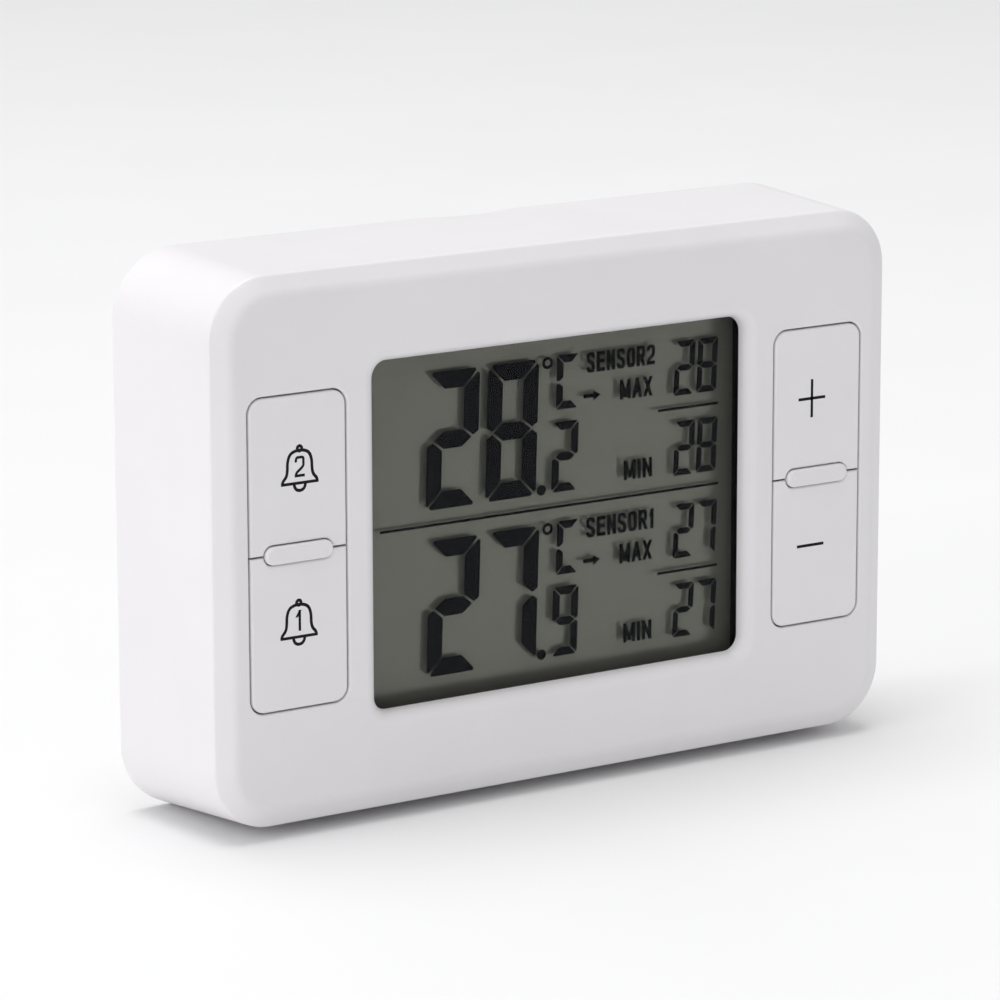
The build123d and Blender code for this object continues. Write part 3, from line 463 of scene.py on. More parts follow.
STEM = Finish("switch_stem", (0.35, 0.33, 0.28), (0.42, 0.40, 0.34), 0.45, 0.8, 0.06, 0.1, 0.003)
CELL_SLEEVE = Finish("cell_sleeve", (0.02, 0.05, 0.10), (0.03, 0.07, 0.13), 0.28, 5.0, 0.05, 0.3, 0.002)
FLOOR = Finish("pale_floor", (0.86, 0.86, 0.87), (0.88, 0.88, 0.88), 0.7, 60.0, 0.05, 4.0, 0.05)


# ---------------------------------------------------------------- mesh tools


def spot(x: float, level: float, depth: float) -> Vector:
    """Return a point from millimetres across, up and back from the middle of the face."""
    return Vector((x * MM, face_depth() + depth * MM, face_level() + level * MM))


def body_of(node: str) -> str:
    """Return the name of the body that a CAD node rides on."""
    return frame["nodes"][node]["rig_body"]


def slot_of(node: str) -> str:
    """Return the material slot that the record gives a CAD node."""
    rows = frame["record"]["subparts"]
    return next(row["material_slot"] for row in rows if row["node"] == node)


# A letter's width beside an ordinary one's, and its strokes: whether each is curved, then its
# points in shares of the letter's width and height.
GLYPH_WIDTHS = {"I": 0.36, "1": 0.62, "M": 1.25, "A": 1.12}
GLYPHS = {
    "A": ((False, (0, 0), (0.5, 1), (1, 0)), (False, (0.22, 0.3), (0.78, 0.3))),
    "E": ((False, (1, 1), (0, 1), (0, 0), (1, 0)), (False, (0, 0.52), (0.85, 0.52))),
    "I": ((False, (0.5, 0), (0.5, 1)),),
    "M": ((False, (0, 0), (0, 1), (0.5, 0.12), (1, 1), (1, 0)),),
    "N": ((False, (0, 0), (0, 1), (1, 0), (1, 1)),),
    "O": ((True, (0, 0.5), (0, 1), (0.5, 1), (1, 1), (1, 0.5), (1, 0), (0.5, 0), (0, 0), (0, 0.52)),),
    "R": (
        (False, (0, 0), (0, 1)),
        (True, (0, 1), (0.6, 1), (1, 1), (1, 0.75), (1, 0.5), (0.6, 0.5), (0, 0.5)),
        (False, (0.55, 0.45), (1, 0)),
    ),
    "S": (
        (True, (1, 0.76), (1, 1), (0.5, 1), (0, 1), (0, 0.74), (0.05, 0.6), (0.5, 0.51), (0.95, 0.41),
         (1, 0.26), (1, 0), (0.5, 0), (0, 0), (0, 0.24)),
    ),
    "X": ((False, (0, 0), (1, 1)), (False, (0, 1), (1, 0))),
    "1": ((False, (0.7, 0), (0.7, 1), (0.1, 0.76)),),
    "2": (
        (True, (0, 0.74), (0, 1), (0.5, 1), (1, 1), (1, 0.73), (1, 0.5), (0.45, 0.3), (0, 0.14), (0, 0)),
        (False, (0, 0), (1, 0)),
    ),
}


class Form:
    """A mesh in the making, shaped with bmesh operators at its own place."""

    def __init__(self) -> None:
        """Start an empty mesh."""
        self.mesh = bmesh.new()

    def prism(self, outline: Iterable[Point], depth: float, thickness: float) -> None:
        """Add a straight-sided solid with a flat outline.

        Args:
            outline: its corners, across and up, in millimetres.
            depth: where its front is.
            thickness: how far it runs back.
        """
        corners = [self.mesh.verts.new(spot(x, level, depth)) for x, level in outline]
        faces = bmesh.ops.contextual_create(self.mesh, geom=corners)["faces"]
        grown = bmesh.ops.extrude_face_region(self.mesh, geom=faces, use_keep_orig=True)
        moved = [item for item in grown["geom"] if isinstance(item, bmesh.types.BMVert)]
        bmesh.ops.translate(self.mesh, verts=moved, vec=(0, thickness * MM, 0))

    def bar(self, left: float, right: float, low: float, high: float, depth: float, back: float) -> None:
        """Add a rectangular prism between its six limits, in millimetres."""
        corners = ((left, low), (right, low), (right, high), (left, high))
        self.prism(corners, depth, back - depth)

    def ring(self, centre: Point, outer: float, inner: float, depth: float, thickness: float) -> None:
        """Add a flat ring, or a disc where the inner radius is 0.

        Args:
            centre: across and up, in millimetres.
            outer: its outer radius.
            inner: its inner radius.
            depth: where its front is.
            thickness: how far it runs back.
        """
        profile = [(depth, inner), (depth, outer), (depth + thickness, outer), (depth + thickness, inner)]
        self.turned(profile, centre, closed=inner > 0)

    def turned(
        self, profile: Sequence[Point], centre: Point, steps: int = 48, closed: bool = False
    ) -> None:
        """Add a solid turned about an axis that runs from front to back.

        Args:
            profile: depths with their radii, in millimetres.
            centre: the axis, across and up.
            steps: the number of facets round it.
            closed: whether the profile's last point joins its first.
        """
        verts = [
            self.mesh.verts.new(spot(centre[0] + radius, centre[1], depth)) for depth, radius in profile
        ]
        self._spin(verts, spot(*centre, 0), (0, 1, 0), steps, closed)

    def turned_along_x(
        self, profile: Sequence[Point], level: float, depth: float, steps: int = 64
    ) -> None:
        """Add a solid turned about an axis that runs from left to right.

        Args:
            profile: places along X with their radii, in millimetres.
            level: the axis's height.
            depth: the axis's depth.
            steps: the number of facets round it.
        """
        verts = [self.mesh.verts.new(spot(x, level + radius, depth)) for x, radius in profile]
        self._spin(verts, spot(0, level, depth), (1, 0, 0), steps, False)

    def _spin(
        self, verts: list[bmesh.types.BMVert], centre: Vector, axis: Rgb, steps: int, closed: bool
    ) -> None:
        """Spin a line of points into a surface and close its poles.

        Args:
            verts: the points, in order.
            centre: a point on the axis.
            axis: the axis's direction.
            steps: the number of facets round it.
            closed: whether the line is a loop.
        """
        pairs = list(zip(verts, verts[1:]))
        if closed:
            pairs.append((verts[-1], verts[0]))
        edges = [self.mesh.edges.new(pair) for pair in pairs]
        bmesh.ops.spin(
            self.mesh,
            geom=[*verts, *edges],
            cent=centre,
            axis=axis,
            angle=2 * math.pi,
            steps=steps,
            use_merge=True,
        )

    def stroke(self, points: Sequence[Point], width: float, depth: float, closed: bool = False) -> None:
        """Add a line of ink or wire of one width along a smooth path.

        Args:
            points: the path, across and up, in millimetres.
            width: the line's width.
            depth: where the middle of its thin section lies.
            closed: whether the path is a loop.
        """
        curve = bpy.data.curves.new("path", "CURVE")
        curve.dimensions = "3D"
        curve.bevel_depth = width / 2
        curve.bevel_resolution = 2
        curve.use_fill_caps = True
        spline = curve.splines.new("NURBS")
        spline.points.add(len(points) - 1)
        for point, (x, level) in zip(spline.points, points):
            point.co = (x, level, 0, 1)
        spline.order_u = 3
        spline.use_endpoint_u = not closed
        spline.use_cyclic_u = closed
        spline.resolution_u = 8
        self._add_flat(curve, Matrix.Diagonal((1, 1, INK_FLATNESS, 1)), depth)

    def slab(self, start: Point, end: Point, width: float, depth: float, thickness: float) -> None:
        """Add a straight stroke with square ends, cut level unless it lies level itself.

        Args:
            start: one end of its middle line, across and up, in millimetres.
            end: the other end.
            width: its width.
            depth: where its front is.
            thickness: how far it runs back.
        """
        low, high = sorted((Vector(start), Vector(end)), key=lambda point: (point.y, point.x))
        run = high - low
        half = width / 2
        if run.y < half:
            left, right = min(low.x, high.x) - half, max(low.x, high.x) + half
            self.bar(left, right, low.y - half, low.y + half, depth, depth + thickness)
            return
        reach = run * (half / run.y)
        side = Vector((half, 0))
        ends = (low - reach, high + reach)
        corners = (ends[0] - side, ends[0] + side, ends[1] + side, ends[1] - side)
        self.prism([tuple(corner) for corner in corners], depth, thickness)

    def words(
        self, text: str, middle: Point, size: Point, line: float, depth: float, thickness: float
    ) -> None:
        """Add condensed lettering drawn with strokes of one width.

        Args:
            text: the letters.
            middle: their middle, across and up, in millimetres.
            size: their overall width and height.
            line: the width of the strokes.
            depth: where their front is.
            thickness: how far they run back.
        """
        space = line * 0.55
        shares = [GLYPH_WIDTHS.get(letter, 1.0) for letter in text]
        unit = (size[0] - space * (len(text) - 1)) / sum(shares)
        left = middle[0] - size[0] / 2 + line / 2
        low = middle[1] - size[1] / 2 + line / 2
        tall = size[1] - line
        for letter, share in zip(text, shares):
            wide = unit * share - line
            for curved, *points in GLYPHS[letter]:
                path = [(left + x * wide, low + up * tall) for x, up in points]
                if curved:
                    self.stroke(path, line, depth + thickness / 2)
                    continue
                for start, end in zip(path, path[1:]):
                    self.slab(start, end, line, depth, thickness)
            left += unit * share + space

    def _add_flat(self, curve: bpy.types.Curve, fitting: Matrix, depth: float) -> None:
        """Make a curve a mesh and stand it up, parallel to the face.

        Args:
            curve: the curve, in millimetres in its own plane.
            fitting: how its section is flattened, in its own axes.
            depth: where it stands.
        """
        holder = bpy.data.objects.new(curve.name, curve)
        mesh = bpy.data.meshes.new_from_object(holder)
        upright = Matrix.Rotation(math.pi / 2, 4, "X") @ Matrix.Diagonal((MM, MM, MM, 1))
        mesh.transform(Matrix.Translation(spot(0, 0, depth)) @ upright @ fitting)
        self.mesh.from_mesh(mesh)
        bpy.data.objects.remove(holder)
        bpy.data.meshes.remove(mesh)

    def lean(self, low: float, slant: float, height: float) -> None:
        """Shear the whole mesh to the right as it rises.

        Args:
            low: the level that stays where it is.
            slant: how far the top moves, in millimetres.
            height: how far the top is above the low level.
        """
        shear = Matrix.Identity(4)
        shear[0][2] = slant / height
        base = Matrix.Translation(spot(0, low, 0))
        bmesh.ops.transform(
            self.mesh, matrix=base @ shear @ base.inverted(), verts=self.mesh.verts
        )

    def piece(
        self, name: str, finish: Finish, body: str, slot: str, stands_for: Sequence[str] = ()
    ) -> bpy.types.Object:
        """Close the mesh, make it a dressed piece and let it ride on a body.

        Args:
            name: the piece's name.
            finish: its finish.
            body: the body that it moves with.
            slot: the record's material slot; not used.
            stands_for: the CAD nodes that it is shown in place of.

        Returns:
            The new object.
        """
        bmesh.ops.remove_doubles(self.mesh, verts=self.mesh.verts, dist=MERGE_DISTANCE)
        bmesh.ops.recalc_face_normals(self.mesh, faces=self.mesh.faces)
        return show(self.mesh, name, finish, body, stands_for)


def show(
    shape: bmesh.types.BMesh,
    name: str,
    finish: Finish,
    body: str,
    stands_for: Sequence[str] = (),
) -> bpy.types.Object:
    """Turn a bmesh into a smooth-shaded piece that rides on a body.

    Args:
        shape: the mesh, which is freed.
        name: the piece's name.
        finish: its finish.
        body: the body that it moves with.
        stands_for: the CAD nodes that it is shown in place of.

    Returns:
        The new object.
    """
    mesh = bpy.data.meshes.new(name)
    shape.to_mesh(mesh)
    shape.free()
    mesh.shade_smooth()
    mesh.set_sharp_from_angle(angle=SHARP_ANGLE)
    mesh.materials.append(finish.build())
    piece = bpy.data.objects.new(name, mesh)
    bpy.context.scene.collection.objects.link(piece)
    weighted = piece.modifiers.new("even_shading", "WEIGHTED_NORMAL")
    weighted.keep_sharp = True
    weighted.weight = 100
    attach(piece, body)
    if stands_for:
        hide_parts(*stands_for)
    log.info("%s: %d faces on %s", name, len(mesh.polygons), body)
    return piece


def skin(node: str, finish: Finish) -> bpy.types.Object:
    """Return a merged, evenly shaded copy of a CAD node with whole flat faces, shown in its place.

    Args:
        node: the CAD node.
        finish: the copy's finish.

    Returns:
        The new object.
    """
    shape = bmesh.new()
    shape.from_mesh(frame["nodes"][node].data)
    bmesh.ops.remove_doubles(shape, verts=shape.verts, dist=MERGE_DISTANCE)
    bmesh.ops.dissolve_limit(
        shape, angle_limit=FLAT_ANGLE, verts=shape.verts, edges=shape.edges, delimit={"NORMAL"}
    )
    return show(shape, f"{node}_skin", finish, body_of(node), (node,))


def dress(node: str, finish: Finish) -> None:
    """Give a CAD node that keeps its own mesh a finish.

    Args:
        node: the CAD node.
        finish: its finish.
    """
    materials = frame["nodes"][node].data.materials
    materials.clear()
    materials.append(finish.build())
    log.info("%s: dressed in %s", node, finish.name)


# ---------------------------------------------------------------- the studio


@dataclass
class Studio:
    """The camera, the lights and the floor."""

    lens: float = 177.67
    sensor: float = 36.0
    nearest: float = 0.01
    camera_offset: Rgb = (-0.299196, -0.441879, 0.121083)
    turn: float = 33.31
    tilt: float = 12.638
    roll: float = -0.127
    floor_size: float = 6.0
    ambient: float = 0.563
    lights: tuple[tuple[str, Rgb, float, float], ...] = (
        ("left_panel", (-1.3, -0.1, 0.35), 1.0, 6.9),
        ("top_panel", (-0.1, 0.1, 1.4), 1.0, 11.5),
        ("right_panel", (0.9, -1.1, 0.3), 0.9, 0.52),
    )

    def build(self) -> None:
        """Make the camera, the lights, the surroundings and the floor."""
        self._place_camera()
        for name, place, size, power in self.lights:
            self._add_light(name, Vector(place), size, power)
        self._fill_surroundings()
        self._lay_floor()

    def _place_camera(self) -> None:
        """Set the camera at its angle to the face."""
        camera = bpy.data.objects.new("camera", bpy.data.cameras.new("camera"))
        camera.data.lens = self.lens
        camera.data.sensor_width = self.sensor
        camera.data.clip_start = self.nearest
        centre = Vector((0, face_depth(), face_level()))
        heading = Matrix.Rotation(-math.radians(self.turn), 4, "Z")
        nod = Matrix.Rotation(math.pi / 2 - math.radians(self.tilt), 4, "X")
        twist = Matrix.Rotation(math.radians(self.roll), 4, "Z")
        place = Matrix.Translation(centre + Vector(self.camera_offset))
        camera.matrix_world = place @ heading @ nod @ twist
        bpy.context.scene.collection.objects.link(camera)
        bpy.context.scene.camera = camera

    def _add_light(self, name: str, place: Vector, size: float, power: float) -> None:
        """Hang one soft square light that points at the unit.

        Args:
            name: its name.
            place: where it hangs, in metres.
            size: its side.
            power: its power in watts.
        """
        light = bpy.data.lights.new(name, "AREA")
        light.size = size
        light.energy = power
        holder = bpy.data.objects.new(name, light)
        target = Vector((0, 0, face_level()))
        turned = (place - target).to_track_quat("Z", "Y").to_matrix().to_4x4()
        holder.matrix_world = Matrix.Translation(place) @ turned
        bpy.context.scene.collection.objects.link(holder)

    def _fill_surroundings(self) -> None:
        """Give the world an even white light."""
        world = bpy.data.worlds.new("surroundings")
        world.use_nodes = True
        background = world.node_tree.nodes["Background"]
        background.inputs["Color"].default_value = (1.0, 1.0, 1.0, 1.0)
        background.inputs["Strength"].default_value = self.ambient
        bpy.context.scene.world = world
        bpy.context.scene.view_settings.view_transform = "Standard"

    def _lay_floor(self) -> None:
        """Lay a wide pale floor under the unit."""
        mesh = bpy.data.meshes.new("floor")
        shape = bmesh.new()
        bmesh.ops.create_grid(shape, x_segments=2, y_segments=2, size=self.floor_size / 2)
        shape.to_mesh(mesh)
        shape.free()
        mesh.materials.append(FLOOR.build())
        floor = bpy.data.objects.new("floor", mesh)
        bpy.context.scene.collection.objects.link(floor)
        log.info("floor: %.1f m square", self.floor_size)


# ---------------------------------------------------------------- case and keys


@dataclass
class CaseLooks:
    """The moulded case: front shell, rear cover, battery door and stand."""

    fronts: tuple[str, ...] = ("front_shell",)
    rears: tuple[str, ...] = ("rear_cover", "battery_door", "stand")

    def build(self) -> None:
        """Show the mouldings with even shading and their satin finishes."""
        for node in self.fronts:
            skin(node, CASE)
        for node in self.rears:
            skin(node, COVER)


@dataclass
class KeyLooks:
    """The four keys and the printed legends on them."""

    line: float = 0.36
    proud: float = 0.01
    bell_width: float = 4.35
    bell_height: float = 5.2
    sign_width: float = 3.45
    plus_height: float = 4.1
    sign_line: float = 0.34
    clapper_room: float = 1.0
    ring_room: float = 0.75
    ring_radius: float = 0.3
    digit_rise: float = 1.8
    digit_height: float = 2.3
    digit_widths: dict[str, float] = field(default_factory=lambda: {"2": 1.25, "1": 0.8})
    places: dict[str, Point] = field(
        default_factory=lambda: {
            "bell_two": (-34.4, 9.2),
            "bell_one": (-34.7, -7.7),
            "plus": (33.8, 9.1),
            "minus": (33.8, -8.1),
        }
    )

    def build(self) -> None:
        """Dress the keys and print their legends."""
        for name in self.places:
            skin(f"key_{name}", KEY)
        self._print("bell_two", self._bell, "2")
        self._print("bell_one", self._bell, "1")
        self._print("plus", self._sign, True)
        self._print("minus", self._sign, False)

    def _print(
        self, name: str, draw: Callable[[Form, Point, object], None], choice: object
    ) -> None:
        """Print one legend on its key.

        Args:
            name: the key's name, without its prefix.
            draw: the method that draws the legend.
            choice: what that method takes beside the form and the place.
        """
        form = Form()
        draw(form, self.places[name], choice)
        key = f"key_{name}"
        form.piece(f"legend_{name}", LEGEND, body_of(key), slot_of(key))

    def _sign(self, form: Form, centre: Point, plus: bool) -> None:
        """Draw a minus sign, or a plus sign.

        Args:
            form: the mesh that takes the lines.
            centre: the sign's middle, across and up.
            plus: whether it has its upright line too.
        """
        x, level = centre
        half, rise = self.sign_width / 2, self.plus_height / 2
        form.slab((x - half, level), (x + half, level), self.sign_line, -self.proud, 2 * self.proud)
        if plus:
            form.slab((x, level - rise), (x, level + rise), self.sign_line, -self.proud, 2 * self.proud)

    def _bell(self, form: Form, centre: Point, digit: str) -> None:
        """Draw an outlined bell with a ring, a clapper and a digit inside.

        Args:
            form: the mesh that takes the lines.
            centre: the bell's middle, across and up.
            digit: the number on it.
        """
        x, level = centre
        half = self.bell_width / 2
        low = level - self.bell_height / 2 + self.clapper_room
        top = level + self.bell_height / 2 - self.ring_room
        side = (
            (-half, low), (-half, low + 0.3), (-half * 0.76, low + 0.8), (-half * 0.7, low + 1.5),
            (-half * 0.7, low + 2.4), (-half * 0.56, top - 0.2), (-half * 0.24, top + 0.1),
            (0.0, top + 0.12),
        )
        left = [(x + across, up) for across, up in side]
        right = [(x - across, up) for across, up in reversed(side)]
        form.stroke(left + right, self.line, 0.0)
        form.slab((x - half, low), (x + half, low), self.line * 0.9, -self.proud, 2 * self.proud)
        form.stroke(self._circle(x, top + 0.32, self.ring_radius), self.line, 0.0, closed=True)
        arc = [
            (x - 0.72, low), (x - 0.66, low - 0.6), (x, low - 0.9), (x + 0.66, low - 0.6),
            (x + 0.72, low),
        ]
        form.stroke(arc, self.line, 0.0)
        size = (self.digit_widths[digit], self.digit_height)
        middle = (x, low + self.digit_rise)
        form.words(digit, middle, size, self.line * 0.85, -self.proud, 2 * self.proud)

    def _circle(self, x: float, level: float, radius: float) -> list[Point]:
        """Return eight points round a circle."""
        turns = [index * math.pi / 4 for index in range(8)]
        return [(x + radius * math.cos(turn), level + radius * math.sin(turn)) for turn in turns]


# ---------------------------------------------------------------- display


class Segment(Enum):
    """The seven bars of a digit, by their usual letters."""

    TOP = "a"
    UPPER_RIGHT = "b"
    LOWER_RIGHT = "c"
    BOTTOM = "d"
    LOWER_LEFT = "e"
    UPPER_LEFT = "f"
    MIDDLE = "g"


DIGITS = {"2": "abged", "7": "abc", "8": "abcdefg", "9": "abcdfg", "C": "afed"}


@dataclass(frozen=True)
class Digit:
    """One size of seven-segment digit."""

    width: float
    height: float
    stroke: float
    gap: float = 0.2
    slant: float = 0.5
    cut: float = 0.55

    def draw(self, target: Form, figure: str, corner: Point, depth: float, thickness: float) -> None:
        """Add a figure's lit segments to the display's ink.

        Args:
            target: the mesh of the ink.
            figure: the figure shown.
            corner: its lower left corner, across and up.
            depth: where the ink's front is.
            thickness: the ink's thickness.
        """
        own = Form()
        left, low = corner
        for segment in Segment:
            if segment.value in DIGITS[figure]:
                outline = [(left + x, low + up) for x, up in self._outline(segment)]
                own.prism(outline, depth, thickness)
        own.lean(low, self.slant, self.height)
        mesh = bpy.data.meshes.new("digit")
        own.mesh.to_mesh(mesh)
        own.mesh.free()
        target.mesh.from_mesh(mesh)
        bpy.data.meshes.remove(mesh)

    def _outline(self, segment: Segment) -> list[Point]:
        """Return one segment's corners from the digit's lower left corner.

        Args:
            segment: which bar it is.

        Returns:
            Its corners, across and up.
        """
        wide, tall, bar, slit, cut = self.width, self.height, self.stroke, self.gap, self.cut
        middle, half, mitre, tip = tall / 2, bar / 2, cut / 2, bar * 0.36
        top = [
            (cut + slit / 2, tall), (wide - cut - slit / 2, tall), (wide - mitre - slit, tall - mitre),
            (wide - bar - slit, tall - bar), (bar + slit, tall - bar), (mitre + slit, tall - mitre),
        ]
        side = [
            (wide, tall - cut - slit / 2), (wide - mitre, tall - mitre - slit),
            (wide - bar, tall - bar - slit), (wide - bar, middle + half + slit),
            (wide - tip, middle + slit), (wide, middle + slit + tip * 0.6),
        ]
        lower = [(x, tall - up) for x, up in side]
        outlines = {
            Segment.TOP: top,
            Segment.UPPER_RIGHT: side,
            Segment.LOWER_RIGHT: lower,
            Segment.BOTTOM: [(x, tall - up) for x, up in top],
            Segment.LOWER_LEFT: [(wide - x, up) for x, up in lower],
            Segment.UPPER_LEFT: [(wide - x, up) for x, up in side],
            Segment.MIDDLE: [
                (tip + slit, middle), (bar + slit, middle + half), (wide - bar - slit, middle + half),
                (wide - tip - slit, middle), (wide - bar - slit, middle - half), (bar + slit, middle - half),
            ],
        }
        return outlines[segment]


BIG_DIGIT = Digit(6.7, 15.35, 1.97)
TENTHS_DIGIT = Digit(3.45, 7.96, 0.95, 0.1, 0.26, 0.3)
DEGREE_LETTER = Digit(2.95, 6.14, 0.9, 0.1, 0.2, 0.2)
SIDE_DIGIT = Digit(2.75, 6.25, 0.72, 0.08, 0.29, 0.2)


@dataclass
class Readings:
    """One half of the display: a big reading with its highest and lowest values beside it.

    Places are across from the display's middle and up from the half's lower edge, in
    millimetres. A label is its middle, its size and its line; a ring is its middle and its
    outer and inner radius.
    """

    shift: float
    sensor: str
    big: str
    tenths: str
    highest: str
    lowest: str
    thickness: float = 0.04
    depth: float = 3.48
    big_lefts: Point = (-16.3, -8.5)
    big_low: float = 1.55
    tenths_place: Point = (0.3, 1.54)
    letter_place: Point = (0.9, 10.9)
    degree_ring: tuple[Point, float, float] = ((-0.19, 16.34), 0.7, 0.35)
    decimal_dot: tuple[Point, float, float] = ((-1.02, 2.0), 0.6, 0.0)
    sensor_label: tuple[Point, Point, float] = ((9.69, 15.78), (9.3, 2.3), 0.43)
    highest_label: tuple[Point, Point, float] = ((11.78, 12.21), (4.4, 2.25), 0.44)
    lowest_label: tuple[Point, Point, float] = ((12.08, 2.9), (3.88, 2.24), 0.44)
    arrow_shaft: tuple[float, float, float, float] = (4.65, 6.2, 11.76, 12.24)
    arrow_head: tuple[Point, Point, Point] = ((5.95, 11.4), (6.95, 12.0), (5.95, 12.6))
    rule: tuple[float, float, float, float] = (14.8, 23.12, 9.05, 9.35)
    side_left: float = 16.9
    side_gap: float = 0.4
    side_lows: Point = (10.67, 1.42)

    def draw(self, form: Form) -> None:
        """Add this half's ink.

        Args:
            form: the mesh of the ink.
        """
        for left, figure in zip(self.big_lefts, self.big):
            self._figure(form, BIG_DIGIT, figure, (left, self.big_low))
        self._figure(form, TENTHS_DIGIT, self.tenths, self.tenths_place)
        self._figure(form, DEGREE_LETTER, "C", self.letter_place)
        for (x, level), outer, inner in (self.degree_ring, self.decimal_dot):
            form.ring((x, self.shift + level), outer, inner, self.depth, self.thickness)
        self._words(form)
        for value, low in zip((self.highest, self.lowest), self.side_lows):
            for place, figure in enumerate(value):
                left = self.side_left + place * (SIDE_DIGIT.width + self.side_gap)
                self._figure(form, SIDE_DIGIT, figure, (left, low))

    def _figure(self, form: Form, size: Digit, figure: str, place: Point) -> None:
        """Draw one figure with its lower left corner at a place in this half."""
        size.draw(form, figure, (place[0], self.shift + place[1]), self.depth, self.thickness)

    def _words(self, form: Form) -> None:
        """Add the label, the headings, the arrow and the line between the values.

        Args:
            form: the mesh of the ink.
        """
        up, depth = self.shift, self.depth
        labels = (
            (self.sensor, self.sensor_label), ("MAX", self.highest_label), ("MIN", self.lowest_label),
        )
        for text, ((x, level), size, line) in labels:
            form.words(text, (x, up + level), size, line, depth, self.thickness)
        self._bar(form, self.arrow_shaft)
        form.prism([(x, up + level) for x, level in self.arrow_head], depth, self.thickness)
        self._bar(form, self.rule)

    def _bar(self, form: Form, limits: tuple[float, float, float, float]) -> None:
        """Add a bar between its left, right, lower and upper limits in this half."""
        left, right, low, high = limits[0], limits[1], self.shift + limits[2], self.shift + limits[3]
        form.bar(left, right, low, high, self.depth, self.depth + self.thickness)


@dataclass
class DisplayLooks:
    """The display: window, glass cell, ink, reflector and what holds them."""

    halves: tuple[Readings, ...] = (
        Readings(0.0, "SENSOR2", "28", "2", "28", "28"),
        Readings(-18.87, "SENSOR1", "27", "9", "27", "27"),
    )
    divider: tuple[float, float, float] = (-22.2, 23.2, -0.14)
    divider_width: float = 0.3
    film_gap: float = 0.05

    def build(self) -> None:
        """Make the display from the window back."""
        dress("display_window", WINDOW)
        dress("lcd_reflector", REFLECTOR)
        # The holder frame's near black is painted shade for the window's edges.
        dress("lcd_frame", FRAME)
        dress("zebra_strip", RUBBER)
        self._make_cell()
        self._make_ink()

    def _make_cell(self) -> None:
        """Make the polariser and the two glasses as one laminated sheet whose side faces are near black,
        painted shade.
        """
        nodes = ("lcd_front_polariser", "lcd_front_glass", "lcd_rear_glass")
        shape = bmesh.new()
        bmesh.ops.create_cube(shape, size=1.0)
        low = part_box(nodes[0])[0]
        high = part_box(nodes[2])[1]
        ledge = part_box(nodes[1])[1].z
        size = (high.x - low.x, high.y - low.y - self.film_gap * MM, high.z - low.z)
        middle = Vector((0, low.y + size[1] / 2, (low.z + high.z) / 2))
        bmesh.ops.scale(shape, vec=size, verts=shape.verts)
        bmesh.ops.translate(shape, vec=middle, verts=shape.verts)
        top = [face for face in shape.faces if face.normal.z > 0.9]
        grown = bmesh.ops.extrude_face_region(shape, geom=top)
        moved = [item for item in grown["geom"] if isinstance(item, bmesh.types.BMVert)]
        bmesh.ops.delete(shape, geom=top, context="FACES")
        bmesh.ops.translate(shape, vec=(0, 0, ledge - high.z), verts=moved)
        bmesh.ops.recalc_face_normals(shape, faces=shape.faces)
        # The side faces take the near-black finish: painted shade for the strip at the window's edges.
        for face in shape.faces:
            face.material_index = 0 if abs(face.normal.y) > 0.5 else 1
        cell = show(shape, "display_cell", CELL_GLASS, body_of(nodes[1]), nodes)
        cell.data.materials.append(CELL_SIDE_SHADE.build())

    def _make_ink(self) -> None:
        """Make the lit segments, the lettering and the line between the two halves."""
        form = Form()
        for half in self.halves:
            half.draw(form)
        left, right, level = self.divider
        line, depth = self.divider_width / 2, self.halves[0].depth
        form.bar(left, right, level - line, level + line, depth, depth + self.halves[0].thickness)
        form.piece("display_ink", SEGMENT, body_of("lcd_front_glass"), slot_of("lcd_front_glass"))


# ---------------------------------------------------------------- inside


@dataclass
class BoardLooks:
    """The main board, its components and the radio receiver."""

    finishes: dict[str, Finish] = field(
        default_factory=lambda: {
            "main_board": BOARD,
            "receiver_board": BOARD,
            "board_screws": STEEL,
            "controller_blob": EPOXY,
            "board_crystal": NICKEL,
            "board_chips": CHIP,
            "filter_capacitor": SLEEVE,
            "receiver_pins": GOLD,
            "receiver_chip": EPOXY,
            "receiver_crystal": NICKEL,
            "aerial_coil": COPPER,
        }
    )
    keys: tuple[str, ...] = ("bell_two", "bell_one", "plus", "minus")

    def build(self) -> None:
        """Show every component with even shading and its own finish."""
        for node, finish in self.finishes.items():
            skin(node, finish)
        for key in self.keys:
            skin(f"switch_body_{key}", SWITCH)
            skin(f"switch_stem_{key}", STEM)


@dataclass
class SounderLooks:
    """The sounder's plate, its ceramic and its two leads."""

    finishes: dict[str, Finish] = field(
        default_factory=lambda: {
            "piezo_plate": BRASS,
            "piezo_ceramic": CERAMIC,
            "sounder_lead_red": RED,
            "sounder_lead_black": BLACK,
        }
    )

    def build(self) -> None:
        """Show the four pieces in their finishes."""
        for node, finish in self.finishes.items():
            skin(node, finish)


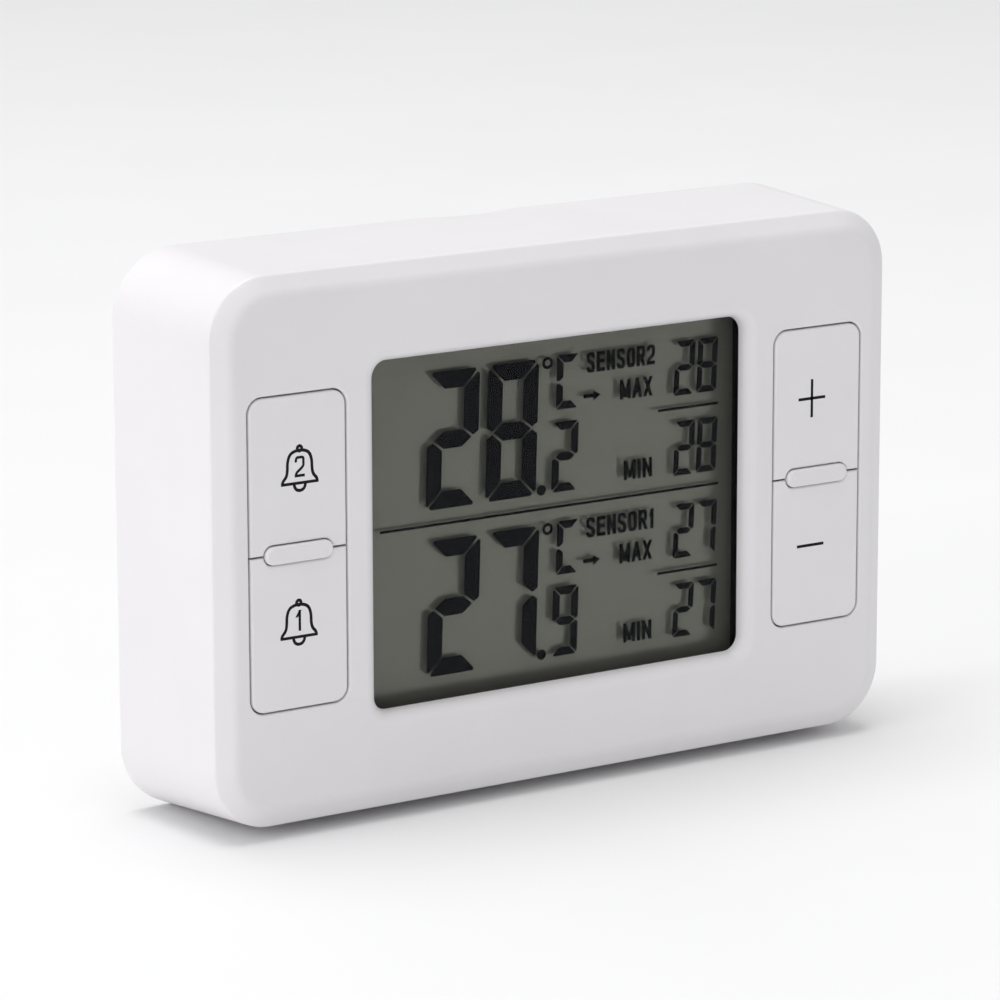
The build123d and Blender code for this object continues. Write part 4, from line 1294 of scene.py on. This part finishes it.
@dataclass
class BatteryLooks:
    """The two cells, their contacts and their springs."""

    label: float = 0.12
    metal: tuple[str, ...] = (
        "spring_upper", "spring_lower", "contact_link", "contact_positive", "contact_negative",
    )

    def build(self) -> None:
        """Turn both cells and plate the contacts."""
        for node, side in (("battery_upper", 1), ("battery_lower", -1)):
            self._make_cell(node, side)
        for node in self.metal:
            skin(node, NICKEL)

    def _make_cell(self, node: str, side: int) -> None:
        """Turn a cell's can with its button, its crimp and its sleeve.

        Args:
            node: the CAD node that it stands for.
            side: 1 where the button points right, -1 where it points left.
        """
        low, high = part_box(node)
        centre_y = (low.y + high.y) / 2
        depth = (centre_y - face_depth()) / MM
        level = ((low.z + high.z) / 2 - face_level()) / MM
        radius = (high.y - low.y) / 2 / MM
        length = (high.x - low.x) / MM
        start = (high.x if side > 0 else low.x) / MM
        can = [
            (0.0, 0.0), (0.0, 1.5), (0.15, 1.8), (0.95, 1.85), (1.0, 2.3), (1.05, radius - 1.0),
            (1.2, radius - self.label - 0.3), (1.5, radius - self.label - 0.05), (2.6, radius - self.label),
            (length - 1.4, radius - self.label), (length - 0.3, radius - self.label - 0.1),
            (length - 0.05, radius - 0.8), (length - 0.05, 3.0), (length, 2.8), (length, 0.0),
        ]
        sleeve = [
            (1.02, radius - 0.9), (1.05, radius - 0.35), (1.3, radius - 0.05), (2.2, radius),
            (length - 1.2, radius), (length - 0.3, radius - 0.1), (length - 0.1, radius - 0.4),
            (length - 0.08, radius - 1.2),
        ]
        for name, profile, finish in (("can", can, NICKEL), ("sleeve", sleeve, CELL_SLEEVE)):
            form = Form()
            turned = [(start - side * along, around) for along, around in profile]
            form.turned_along_x(turned, level, depth)
            stands_for = (node,) if name == "can" else ()
            form.piece(f"{node}_{name}", finish, body_of(node), slot_of(node), stands_for)


@dataclass
class HardwareLooks:
    """The case screws and the two magnets."""

    finishes: dict[str, Finish] = field(
        default_factory=lambda: {"case_screws": STEEL, "magnet_left": NICKEL, "magnet_right": NICKEL}
    )

    def build(self) -> None:
        """Show the screws and magnets in bare metal."""
        for node, finish in self.finishes.items():
            skin(node, finish)


def main() -> None:
    """Build the studio, then every sub-assembly."""
    logging.basicConfig(level=logging.INFO, format="%(name)s %(message)s")
    Studio().build()
    assemblies = (
        CaseLooks(), KeyLooks(), DisplayLooks(), BoardLooks(), SounderLooks(), BatteryLooks(),
        HardwareLooks(),
    )
    for assembly in assemblies:
        log.info("building %s", type(assembly).__name__)
        assembly.build()


if __name__ == "__main__":
    main()
